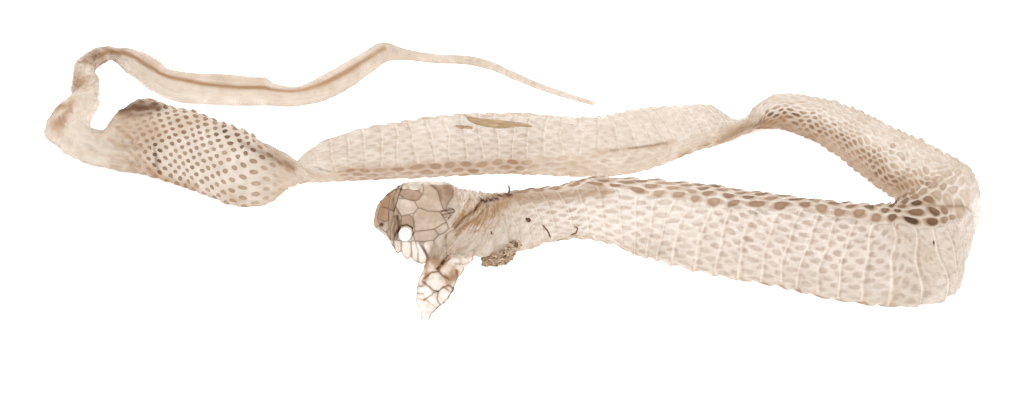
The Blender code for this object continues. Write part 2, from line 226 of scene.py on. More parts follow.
# Marks and stains: kind, half width in mm, strength, and the line they follow as pairs of length
# and turn. Tone browns the scales, stain is yellow-brown, dirt dark brown, thin clears, and plain
# hides the scale pattern.
BODY_MARKS = [
    # back run and its ends
    ("plain", 2.6, 0.72, [(238, -0.42), (265, -0.43), (299, -0.45), (325, -0.46), (350, -0.42)]),
    ("tone", 2.6, 0.32, [(243, -0.337), (259, -0.307), (291, -0.31), (307, -0.34),
                         (335, -0.313), (342, -0.25)]),
    ("tone", 1.6, 0.25, [(225, -0.30), (243, -0.337), (262, -0.36)]),
    ("stain", 3.0, 0.3, [(236, -0.30), (243, -0.337), (259, -0.307), (291, -0.31),
                         (307, -0.34), (335, -0.313), (345, -0.26)]),
    ("stain", 3.6, 0.34, [(243, -0.34), (230, -0.25), (214, -0.19)]),
    ("tone", 4.0, 0.2, [(240, -0.32), (230, -0.25), (214, -0.19), (200, -0.12)]),
    ("stain", 2.6, 0.3, [(240, -0.43), (265, -0.40), (299, -0.44), (325, -0.44),
                         (352, -0.40)]),
    ("tone", 3.0, 0.2, [(163, 0.10), (168, 0.16)]),
    ("tone", 3.0, 0.22, [(325, -0.27), (338, -0.27), (346, -0.28)]),
    ("stain", 1.5, 0.35, [(330, -0.33), (345, -0.34), (360, -0.34)]),
    # low edge and folds of the far run, and the second twist
    ("tone", 2.2, 0.14, [(508, 0.095), (482, 0.08), (464, 0.07), (446, 0.08)]),
    ("stain", 1.7, 0.35, [(510, 0.10), (482, 0.085), (464, 0.07), (440, 0.08)]),
    ("dirt", 0.35, 0.4, [(418, 0.173), (415.5, 0.173)]),
    ("dirt", 0.35, 0.45, [(412.8, 0.172), (404.5, 0.158), (397.5, 0.152)]),
    ("stain", 0.9, 0.45, [(422, 0.172), (412, 0.17), (404, 0.157), (393, 0.15)]),
    ("dirt", 0.22, 0.35, [(524, 0.225), (519, 0.165), (513.9, 0.102)]),
    ("dirt", 0.22, 0.3, [(528, 0.2), (524, 0.14), (520, 0.085)]),
    ("stain", 0.8, 0.3, [(532, 0.065), (522, 0.05), (512, 0.055)]),
    # brown lumps along the low edge beside the twist
    ("stain", 1.3, 0.55, [(391, 0.03), (384, 0.02)]),
    ("dirt", 0.5, 0.35, [(389, 0.012), (386, 0.02)]),
    ("stain", 1.1, 0.5, [(379, 0.03), (374, 0.05)]),
    ("dirt", 0.45, 0.35, [(376, 0.03), (373, 0.045)]),
    # the brown low edge of the first twist, and its darkest scales
    ("stain", 1.6, 0.35, [(365, 0.11), (352, 0.115), (342, 0.13)]),
    ("stain", 1.5, 0.5, [(369, 0.045), (361, 0.065), (356, 0.067), (352, 0.025), (346, -0.17),
                         (341, -0.28)]),
    ("dirt", 0.8, 0.12, [(368, 0.047), (361, 0.065), (356, 0.067), (352, 0.025), (346, -0.17)]),
    ("dirt", 0.5, 0.5, [(348.4, -0.10), (347.6, -0.12)]),
    ("dirt", 0.5, 0.5, [(345.8, -0.20), (345.0, -0.21)]),
    ("dirt", 0.5, 0.45, [(346.6, -0.12), (345.8, -0.13)]),
    ("dirt", 0.5, 0.5, [(343.4, -0.24), (342.4, -0.25)]),
    ("dirt", 0.5, 0.45, [(343.6, -0.17), (342.6, -0.18)]),
    ("dirt", 0.5, 0.45, [(350.6, -0.03), (350.0, -0.05)]),
    # the clear belly of the far run
    ("thin", 3.5, 0.3, [(398, 0.05), (410, 0.05), (420, 0.12)]),
    ("stain", 6.0, 0.14, [(385, 0.32), (400, 0.3), (432, 0.3)]),
    # dotted run and its dark upper end
    ("dirt", 0.8, 0.3, [(550, -0.095), (545, -0.105), (540, -0.125), (535, -0.135)]),
    ("tone", 2.6, 0.35, [(560, -0.08), (550, -0.095), (541, -0.12), (536, -0.135)]),
    ("stain", 1.5, 0.4, [(551, -0.40), (547, -0.44)]),
    ("stain", 1.8, 0.6, [(590, -0.45), (576, -0.48), (565, -0.45)]),
    ("stain", 2.5, 0.35, [(600, -0.45), (588, -0.42)]),
    ("dirt", 0.7, 0.4, [(587.6, -0.30), (586.4, -0.35), (585.6, -0.42)]),
    ("tone", 2.5, 0.4, [(586, -0.28), (585, -0.42)]),
    # Painted shadow of the fold at the run's upper end: the tone line and the dirt marks from here
    # to the thin line at 596 mm darken it.
    ("tone", 2.6, 0.5, [(610, -0.08), (603, -0.07), (594, -0.06)]),
    ("dirt", 1.7, 0.8, [(610, -0.10), (606.5, -0.095)]),
    ("dirt", 1.5, 0.75, [(603.5, -0.08), (601.8, -0.08)]),
    ("dirt", 1.3, 0.7, [(598.8, -0.065), (595, -0.06)]),
    ("dirt", 0.7, 0.4, [(605.2, -0.155), (602.6, -0.142), (599.4, -0.125), (596.1, -0.117)]),
    ("stain", 4.5, 0.34, [(606, -0.14), (598.4, -0.195), (590, -0.25)]),
    ("stain", 5.0, 0.25, [(588, -0.19), (578, -0.11), (574, -0.05)]),
    ("tone", 4.5, 0.14, [(590, -0.26), (588, -0.19), (578, -0.11)]),
    ("stain", 0.8, 0.4, [(610, -0.30), (603, -0.35), (594, -0.39)]),
    ("stain", 0.8, 0.35, [(620, -0.36), (612, -0.40), (600, -0.43)]),
    ("stain", 0.7, 0.35, [(606, -0.24), (600, -0.29), (592, -0.33)]),
    # left bend
    ("stain", 2.0, 0.2, [(640, -0.40), (620, -0.44)]),
    ("stain", 2.2, 0.2, [(632, -0.28), (622, -0.30), (612, -0.26)]),
    ("stain", 4.0, 0.6, [(662, -0.30), (656, -0.22), (645, -0.33)]),
    ("stain", 4.0, 0.4, [(670, -0.40), (657, -0.38), (649, -0.36)]),
    ("stain", 3.5, 0.4, [(674, -0.13), (690, -0.16), (702, -0.18)]),
    ("tone", 2.2, 0.45, [(660, -0.30), (656, -0.22), (650, -0.26)]),
    ("stain", 3.2, 0.25, [(652, -0.40), (638, -0.36)]),
    ("tone", 2.4, 0.45, [(712, -0.26), (704, -0.32), (690, -0.28)]),
    ("stain", 3.0, 0.5, [(720, -0.28), (705, -0.30), (688, -0.26)]),
    ("tone", 2.2, 0.5, [(739, 0.10), (731, 0.04), (724, -0.06)]),
    ("stain", 3.0, 0.35, [(741, 0.20), (730, 0.06), (716, -0.08)]),
    ("tone", 1.8, 0.45, [(757, 0.16), (750, 0.13)]),
    ("dirt", 1.2, 0.3, [(735, 0.08), (730, 0.05)]),
    # the line along the ribbon, and the clear wall below it
    ("stain", 1.1, 0.8, [(740, 0.12), (757, 0.127), (771, 0.14), (790, 0.147), (815, 0.157),
                         (824, 0.20), (838, 0.215), (849, 0.187), (860, 0.133),
                         (869, 0.155), (887, 0.162), (914, 0.163), (932, 0.16)]),
    ("dirt", 0.7, 0.18, [(750, 0.12), (771, 0.14), (790, 0.147), (815, 0.157), (824, 0.20),
                         (838, 0.215), (849, 0.187)]),
    ("stain", 2.2, 0.3, [(757, 0.06), (790, 0.07), (824, 0.10), (845, 0.08)]),
    ("stain", 2.0, 0.15, [(868, 0.2), (900, 0.2)]),
    ("thin", 3.0, 0.4, [(765, 0.42), (830, 0.43), (845, 0.43)]),
    ("thin", 2.4, 0.15, [(850, 0.44), (915, 0.44)]),
    ("stain", 4.0, 0.14, [(765, 0.28), (830, 0.28), (880, 0.25), (915, 0.25)]),
    # neck: stains, the torn line behind the head and the dark scales along its top
    ("stain", 4.5, 0.2, [(22, 0.30), (30, 0.22), (40, 0.16)]),
    ("stain", 1.8, 0.3, [(27.4, 0.26), (30.5, 0.19), (36, 0.17), (42, 0.13)]),
    ("stain", 1.2, 0.3, [(25.8, 0.287), (32.9, 0.217), (38, 0.16)]),
    ("stain", 1.6, 0.4, [(19.2, 0.39), (19.6, 0.46)]),
    ("stain", 1.6, 0.4, [(34, 0.10), (44, 0.06)]),
    ("dirt", 0.26, 0.7, [(31.5, 0.12), (30.2, 0.143), (26.8, 0.205), (23.2, 0.26), (21, 0.33)]),
    ("stain", 0.7, 0.5, [(31.5, 0.12), (26.8, 0.205), (23.2, 0.26), (21, 0.33)]),
    ("dirt", 0.2, 0.4, [(33, 0.16), (29, 0.21), (26, 0.27)]),
    ("dirt", 0.75, 1.1, [(31.0, 0.130), (32.0, 0.134)]),
    ("dirt", 0.75, 1.1, [(33.9, 0.125), (34.9, 0.129)]),
    ("dirt", 0.7, 1.0, [(36.7, 0.108), (37.7, 0.112)]),
    ("dirt", 0.8, 1.1, [(39.5, 0.078), (40.5, 0.082)]),
    ("dirt", 0.85, 1.1, [(42.6, 0.069), (43.8, 0.073)]),
    ("dirt", 0.5, 0.5, [(41.8, 0.10), (42.6, 0.096)]),
    ("dirt", 0.36, 0.6, [(45.6, 0.055), (48.0, 0.05), (52, 0.045), (56, 0.04)]),
    ("dirt", 0.25, 0.5, [(46, 0.075), (50, 0.06)]),
    # the brown of the far wall, seen through the front of the run
    ("stain", 2.8, 0.75, [(46, 0.125), (52, 0.15), (59, 0.163), (66, 0.168), (73, 0.172)]),
    ("dirt", 2.3, 0.2, [(46, 0.13), (52, 0.15), (59, 0.163), (72, 0.172)]),
    # right bend: its dark fold and cracks
    ("stain", 3.0, 0.25, [(158, 0.16), (163, 0.22), (165, 0.30)]),
    ("tone", 3.0, 0.12, [(158, 0.16), (163, 0.22), (165, 0.30)]),
    ("stain", 4.5, 0.15, [(150, 0.20), (164, 0.28), (176, 0.26)]),
    ("dirt", 0.85, 0.1, [(159.8, 0.078), (163.4, 0.066), (167.5, 0.07)]),
    ("dirt", 0.85, 0.1, [(165, 0.105), (169.6, 0.112)]),
    ("dirt", 0.85, 0.2, [(167.8, 0.147), (169.8, 0.157)]),
    ("dirt", 0.3, 0.45, [(170, 0.085), (176, 0.123), (186, 0.165), (191, 0.208)]),
    ("stain", 1.2, 0.4, [(170, 0.085), (180, 0.14), (191, 0.208)]),
    # fine stained folds of the neck
    ("stain", 0.3, 0.6, [(27.6, 0.095), (24.1, 0.197), (22.1, 0.263), (19.9, 0.343)]),
    ("stain", 0.3, 0.6, [(25.8, 0.267), (22.9, 0.313), (21.2, 0.382)]),
    ("stain", 0.25, 0.5, [(23.1, 0.33), (24.5, 0.283), (26.4, 0.285), (27.9, 0.328),
                          (27.0, 0.37)]),
    ("stain", 0.25, 0.5, [(25.1, 0.408), (25.9, 0.463), (27.0, 0.51)]),
    ("stain", 0.25, 0.5, [(29.1, 0.332), (29.9, 0.388), (29.4, 0.477)]),
    ("tone", 2.2, 0.3, [(40, 0.14), (47, 0.15)]),
]
# More stained folds at random: the neck is drawn into slanting strips that run back and down
# from near the raised edge.
NECK_SLANT = 32.0                 # mm of length that a strip loses in one whole turn
chances = np.random.default_rng(11)
for _ in range(40):
    place, high = chances.uniform(27, 38), chances.uniform(0.10, 0.34)
    low = high + chances.uniform(0.04, 0.14)
    line = [(place - NECK_SLANT * share, share) for share in (high, low)]
    BODY_MARKS.append(("stain", chances.uniform(0.1, 0.18), chances.uniform(0.12, 0.35), line))
    if chances.uniform() < 0.15:
        BODY_MARKS.append(("dirt", 0.12, chances.uniform(0.2, 0.5), line))

FIRST_SCALE = 15.2                # mm from the snout, where the count of the belly scales begins
BACK_ROWS = 19
BELLY_ROWS_WIDE = 10.7            # width of a belly scale, in widths of a row
# The share of the way round that the rows of the back take, and how much narrower they are on the
# spine than low on the flank by the raised edge and on the other flank.
BACK_SHARE = [(20, 0.64), (172, 0.64), (205, 0.84), (330, 0.86), (345, 0.86), (358, 0.8),
              (374, 0.64), (1048, 0.64)]
RAISED_CROWDING = [(20, 0.1), (60, 0.15), (85, 0.28), (155, 0.28), (172, 0.2), (205, 0.36),
                   (325, 0.25), (346, -0.45), (372, 0.1), (500, 0.1), (535, -0.1), (548, 0.0),
                   (560, 0.2), (1048, 0.25)]
OTHER_CROWDING = [(20, 0.1), (150, 0.1), (205, 0.36), (325, 0.25), (346, -0.45), (372, 0.1),
                  (500, 0.1), (535, -0.1), (548, 0.0), (560, 0.2), (1048, 0.25)]
# How far the rows and the scales stray from straight, in rows.
LATTICE_BEND = [(20, 0.5), (60, 0.4), (150, 0.45), (172, 1.0), (215, 1.0), (330, 0.9), (352, 1.1),
                (372, 0.6), (500, 0.6), (535, 0.4), (545, 0.25), (590, 0.3), (700, 0.3),
                (1048, 0.2)]
# Height in mm of a small scale's middle, and how far each belly scale's back edge stands out.
BACK_RELIEF = [(20, 0.45), (150, 0.45), (168, 0.7), (200, 0.7), (330, 0.62), (352, 0.55),
               (372, 0.45), (1048, 0.45)]
BELLY_STEP = 0.22
HOLLOW_EDGES = 0.22               # how much thinner than an oval the section is near its edges
LOWEST = 0.02                     # mm above the ground, under which no skin reaches


def keyed(keys, at):
    """Value at each length on straight lines between the given keys."""
    places, values = zip(*keys)
    return np.interp(at, places, values)


def on_route(column, at):
    """Value of one column of the stations on a smooth curve through them."""
    values = ROUTE[:, column]
    span = np.clip(np.searchsorted(ROUTE_LENGTHS, at, side="right") - 1, 0, len(values) - 2)
    gap = ROUTE_LENGTHS[span + 1] - ROUTE_LENGTHS[span]
    share = (at - ROUTE_LENGTHS[span]) / gap
    low = np.maximum(np.arange(len(values)) - 1, 0)
    high = np.minimum(np.arange(len(values)) + 1, len(values) - 1)
    slopes = (values[high] - values[low]) / (ROUTE_LENGTHS[high] - ROUTE_LENGTHS[low])
    start, end = slopes[span] * gap, slopes[span + 1] * gap
    cubic = 2 * values[span] - 2 * values[span + 1] + start + end
    square = -3 * values[span] + 3 * values[span + 1] - 2 * start - end
    return ((cubic * share + square) * share + start) * share + values[span]


def sections(at):
    """Middles, unit width and thickness directions, and half sizes of the flattened tube."""
    x, y, base, width, thickness, lean = [on_route(column, at) for column in range(6)]
    ahead, behind = np.minimum(at + 1, TAIL_TIP), np.maximum(at - 1, 0)
    along = np.stack([on_route(0, ahead) - on_route(0, behind),
                      on_route(1, ahead) - on_route(1, behind)], axis=1)
    along /= np.linalg.norm(along, axis=1, keepdims=True)
    left = np.stack([-along[:, 1], along[:, 0], np.zeros(len(at))], axis=1)
    up = np.array([0.0, 0.0, 1.0])
    lean = np.radians(lean)[:, None]
    across = left * np.cos(lean) + up * np.sin(lean)
    out = up * np.cos(lean) - left * np.sin(lean)
    half_width, half_thickness = width / 2, thickness / 2
    rise = np.hypot(across[:, 2] * half_width, out[:, 2] * half_thickness)
    middle = np.stack([x - LAYOUT_CENTRE[0], y - LAYOUT_CENTRE[1], base + rise], axis=1)
    return middle, across, out, half_width, half_thickness


def turns(share, half_width, half_thickness):
    """Angles on each ellipse where the given shares of its way round are used up, and its girth."""
    angles = np.linspace(0, math.tau, 241)
    steps = np.hypot(half_width[:, None] * np.sin(angles), half_thickness[:, None] * np.cos(angles))
    way = np.cumsum((steps[:, 1:] + steps[:, :-1]) / 2 * math.tau / 240, axis=1)
    way = np.concatenate([np.zeros((len(way), 1)), way], axis=1)
    girth = way[:, -1:]
    angle = np.stack([np.interp(one % 1, line, angles) for one, line in zip(share, way / girth)])
    return angle, girth


def row_number(round_share, at):
    """Row of small scales at a share of the way round from the spine; past 9.5 is the belly."""
    side = np.abs(round_share)
    half_back = keyed(BACK_SHARE, at)[:, None] / 2
    inner = np.minimum(side, half_back) / half_back
    crowding = np.where(round_share > 0, keyed(RAISED_CROWDING, at)[:, None],
                        keyed(OTHER_CROWDING, at)[:, None])
    back = BACK_ROWS / 2 * inner * (1 + crowding * (1 - inner ** 2))
    belly = np.maximum(side - half_back, 0) / (0.5 - half_back) * BELLY_ROWS_WIDE / 2
    return np.sign(round_share) * (back + belly)


def relief(row, scale, edge_on, dome_height):
    """Height in mm of the small scales' domes and of the belly scales' overlapping steps."""
    nearest = np.round(row)
    across = (row - nearest) / 0.5
    along = ((scale + 0.5 * (nearest % 2)) % 1 - 0.5) / 0.5
    dome = np.clip(1 - across ** 2 - 0.8 * np.abs(along) ** 3, 0, 1) ** 0.6
    dome = dome * (0.8 + (0.5 + 0.3 * edge_on) * along)
    on_belly = np.clip((np.abs(row) - BACK_ROWS / 2) / 0.6, 0, 1)
    share = scale % 1
    step = np.where(share < 0.88, (share / 0.88) ** 1.5, (1 - share) / 0.12)
    return (dome_height * dome * (1 - on_belly) * (1 + 0.7 * edge_on)
            + BELLY_STEP * step * on_belly * (1 + 3.2 * edge_on))


def wavy(points, size, seed):
    """Smooth noise between about -1 and 1 at each point, for lumps of the given size."""
    return np.array([noise.noise(Vector(point)) for point in (points / size + seed).tolist()])


def brushed(marks, kind, along, across, across_unit=1.0, repeats=False):
    """How strongly the soft strokes of one kind cover each point. Lengths are in mm."""
    total = np.zeros(np.broadcast(along, across).shape)
    for mark_kind, half_width, strength, line in marks:
        if mark_kind != kind:
            continue
        first = line[0][1] if repeats else 0.0
        side = across - first
        side = ((side + 0.5) % 1 - 0.5 if repeats else side) * across_unit
        distance = np.full(total.shape, 1e6)
        for (a0, b0), (a1, b1) in zip(line, line[1:]):
            b0, b1 = (b0 - first) * across_unit, (b1 - first) * across_unit
            run_a, run_b = a1 - a0, b1 - b0
            square = np.maximum(run_a ** 2 + run_b ** 2, 1e-9)
            share = np.clip(((along - a0) * run_a + (side - b0) * run_b) / square, 0, 1)
            distance = np.minimum(distance, np.hypot(along - a0 - share * run_a,
                                                     side - b0 - share * run_b))
        total = total + strength * np.exp(-(distance / half_width) ** 2)
    return total


def new_grid(name, columns, rows):
    """A flat grid with a UV map, which is then given its shape vertex by vertex."""
    bpy.ops.mesh.primitive_grid_add(x_subdivisions=columns, y_subdivisions=rows, size=1)
    item = bpy.context.object
    item.name = item.data.name = name
    return item


def add_attribute(item, name, values):
    """Give each vertex of a grid its value, between 0 and 1, for the material to read."""
    item.data.attributes.new(name, "FLOAT", "POINT").data.foreach_set(
        "value", np.clip(values, 0, 1).ravel().astype(np.float32))


def add_map(layer, u, v):
    """Fill a UV map of a grid from a value for each of its vertices."""
    loop_vertex = np.empty(len(layer.id_data.loops), dtype=int)
    layer.id_data.loops.foreach_get("vertex_index", loop_vertex)
    layer.data.foreach_set("uv", np.stack([u.ravel(), v.ravel()], axis=1)[loop_vertex].ravel())


def place_vertices(item, points, u, v):
    """Put a grid's vertices where they belong, in mm, and write its UV map."""
    item.data.vertices.foreach_set("co", (points * MM).ravel())
    add_map(item.data.uv_layers[0], u, v)
    item.data.polygons.foreach_set("use_smooth", [True] * len(item.data.polygons))
    item.data.update()


def close_up(item, gap):
    """Join the meeting edges of a rolled grid, and point its faces outwards. The gap is in mm."""
    mesh = bmesh.new()
    mesh.from_mesh(item.data)
    bmesh.ops.remove_doubles(mesh, verts=mesh.verts, dist=gap * MM)
    bmesh.ops.recalc_face_normals(mesh, faces=mesh.faces)
    mesh.to_mesh(item.data)
    mesh.free()


def skin_length(name, start, end, columns, rings_a_scale):
    """One length of the tube: a grid rolled round the route, with its scales raised."""
    at_scale = [FIRST_SCALE]
    while at_scale[-1] < TAIL_TIP:
        at_scale.append(at_scale[-1] + float(keyed(SCALE_PITCH, at_scale[-1])))
    first, last = np.searchsorted(at_scale, start), np.searchsorted(at_scale, end)
    numbers = np.linspace(first, last, (last - first) * rings_a_scale + 1)
    at = np.minimum(np.interp(numbers, np.arange(len(at_scale)), at_scale), TAIL_TIP)
    rows = len(at)

    tube = new_grid(name, columns, rows - 1)
    round_share = np.tile(np.linspace(-0.5, 0.5, columns + 1), (rows, 1))
    turn = round_share + keyed(SPINE_TURN, at)[:, None]
    middle, across, out, half_width, half_thickness = sections(at)
    angle, girth = turns(turn, half_width, half_thickness)
    raised, other = keyed(RAISED_CUT, at)[:, None], keyed(OTHER_CUT, at)[:, None]
    cosine = np.cos(angle)
    sides = cosine * (half_width[:, None] - np.where(cosine > 0, raised, other))
    fronts = half_thickness[:, None] * np.sin(angle) * (1 - HOLLOW_EDGES * cosine ** 2)
    normal = (across[:, None] * (half_thickness[:, None] * cosine)[..., None]
              + out[:, None] * (half_width[:, None] * np.sin(angle))[..., None])
    normal /= np.linalg.norm(normal, axis=2, keepdims=True)
    points = middle[:, None] + across[:, None] * sides[..., None] + out[:, None] * fronts[..., None]

    def waves(size, seed, places=points):
        return wavy(places.reshape(-1, 3), size, seed).reshape(rows, -1)

    def rolled(radius, stretch):
        """Places for noise that runs round the tube, drawn out lengthwise."""
        return np.stack([radius * np.cos(math.tau * round_share),
                         radius * np.sin(math.tau * round_share),
                         np.tile(at[:, None] / stretch, (1, columns + 1))], axis=2)

    size = np.minimum(half_width / 9.0, 1.0)[:, None]
    stray = keyed(LATTICE_BEND, at)[:, None]
    row = row_number(round_share, at) + stray * waves(8.0, 12.3)
    scale = numbers[:, None] + 0.45 * stray * waves(9.0, 15.9)
    dents = waves(14.0, 3.7) + 0.5 * waves(6.0, 9.1)
    creases = 1 - 3.0 * np.abs(waves(1.0, 5.3, rolled(4.2, 16.0)))
    slant = at[:, None] + NECK_SLANT * turn
    on_slant = np.stack([slant / 2.2, turn * girth / 8.0, np.zeros_like(slant)], axis=2)
    strips = 1 - 3.2 * np.abs(waves(1.0, 8.8, on_slant)) + 0.6 * waves(0.4, 2.8, on_slant)
    neck = keyed(NECK_FOLDS, at)[:, None] * (1 - 0.7 * np.clip(cosine, 0, 1) ** 6)
    pattern = keyed(PATTERN, at)[:, None]
    domes = keyed(BACK_RELIEF, at)[:, None]
    height = (relief(row, scale, cosine ** 6, domes) * size * (0.3 + 0.7 * pattern)
              + dents * keyed(DENT_DEPTH, at)[:, None]
              + creases * keyed(CRUMPLE_DEPTH, at)[:, None] + strips * neck)
    points += normal * height[..., None]
    points[..., 2] = np.maximum(points[..., 2], LOWEST)
    place_vertices(tube, points, row, scale)
    # A second map, in mm along the slanting folds of the neck and across them.
    add_map(tube.data.uv_layers.new(name="Folds"), turn * girth, slant)

    def marked(kind):
        return brushed(BODY_MARKS, kind, at[:, None], turn, girth, repeats=True)

    near_raised = np.clip(round_share / 0.18, 0, 1)
    near_other = np.clip(-round_share / 0.28, 0, 1)
    tone = (keyed(SPINE_TONE, at)[:, None] * (1 - near_raised) * (1 - near_other)
            + keyed(RAISED_TONE, at)[:, None] * near_raised
            + keyed(OTHER_TONE, at)[:, None] * near_other)
    even = np.ones((1, columns + 1))
    tone = tone * (0.35 + 0.65 * pattern)
    blotches = keyed(BLOTCHES, at)[:, None] * np.clip(waves(4.5, 31.0) + 0.6 * waves(1.8, 33.0),
                                                      0, 1)
    add_attribute(tube, "tone", tone + 0.08 * dents + blotches + marked("tone"))
    dot_length = (keyed(DOT_LENGTH, at)[:, None] * (1 - near_raised)
                  + keyed(RAISED_DOT_LENGTH, at)[:, None] * near_raised)
    add_attribute(tube, "dot_length", dot_length)
    add_attribute(tube, "dot_width", keyed(DOT_WIDTH, at)[:, None] * even)
    add_attribute(tube, "pattern", pattern * even - marked("plain"))
    add_attribute(tube, "cover", keyed(COVER, at)[:, None] * even - marked("thin")
                  - 0.35 * np.clip(-strips, 0, 1) * neck)
    veins = keyed(VEINS, at)[:, None] * (1 - 0.5 * np.clip((turn - 0.3) / 0.1, 0, 1))
    add_attribute(tube, "veins", veins * even)
    # Thin joints between the cells of the bare neck, browned tips along the belly's rim, and
    # lengthwise streaks that come and go.
    net = np.clip(1 - np.abs(waves(2.6, 4.1)) / 0.14, 0, 1) * keyed(NECK_NET, at)[:, None]
    tips = (np.clip(-cosine - 0.86, 0, 1) / 0.14 * (np.abs(row) > 9.8)
            * np.clip((scale % 1 - 0.7) / 0.15, 0, 1) * pattern)
    streaks = np.clip(1 - 4.0 * np.abs(waves(1.0, 7.7, rolled(7.5, 11.0))), 0, 1) ** 2
    patches = np.clip(0.6 + 1.6 * waves(9.0, 21.4), 0, 1)
    add_attribute(tube, "stain", marked("stain") + 0.08 * creases * (1 - pattern) + 0.3 * net
                  + 0.6 * tips + 0.1 * np.clip(strips, 0, 1) ** 2 * neck
                  + keyed(STREAKS, at)[:, None] * streaks * patches)
    add_attribute(tube, "dirt", marked("dirt"))
    close_up(tube, 0.01)
    return tube


def colour(sheet_hex):
    """An sRGB hex value as linear red, green, blue and alpha."""
    channels = [int(sheet_hex[i:i + 2], 16) / 255 for i in (1, 3, 5)]
    linear = [c / 12.92 if c <= 0.04045 else ((c + 0.055) / 1.055) ** 2.4 for c in channels]
    return (*linear, 1.0)


def node(tree, kind, *feeds, **settings):
    """Add a node with its settings, and feed its inputs values or other nodes' outputs: in their
    order, or by name or number where a feed is a pair."""
    item = tree.nodes.new("ShaderNode" + kind)
    for name, value in settings.items():
        setattr(item, name, value)
    for number, feed in enumerate(feeds):
        socket, source = feed if isinstance(feed, tuple) and len(feed) == 2 else (number, feed)
        if isinstance(source, bpy.types.NodeSocket):
            tree.links.new(source, item.inputs[socket])
        else:
            item.inputs[socket].default_value = source
    return next(output for output in item.outputs if output.enabled)


def with_stops(ramp, stops):
    """Give the ramp behind an output its colours, from stops of position and hex value."""
    elements = ramp.node.color_ramp.elements
    for index, (position, shade) in enumerate(stops):
        if index > 1:
            elements.new(position)
        elements[index].position = position
        elements[index].color = colour(shade)
    return ramp


def new_material(name):
    """An empty material, its node tree and the node that holds its surface."""
    material = bpy.data.materials.new(name)
    material.use_nodes = True
    material.node_tree.nodes.clear()
    output = material.node_tree.nodes.new("ShaderNodeOutputMaterial")
    return material, material.node_tree, output


# Keratin's colour as pigment fills it, from none to the darkest scale.
PIGMENT = [(0.0, "#EFE7DD"), (0.25, "#D4C3B1"), (0.5, "#AD917A"), (0.75, "#80634E"),
           (1.0, "#4D3322")]


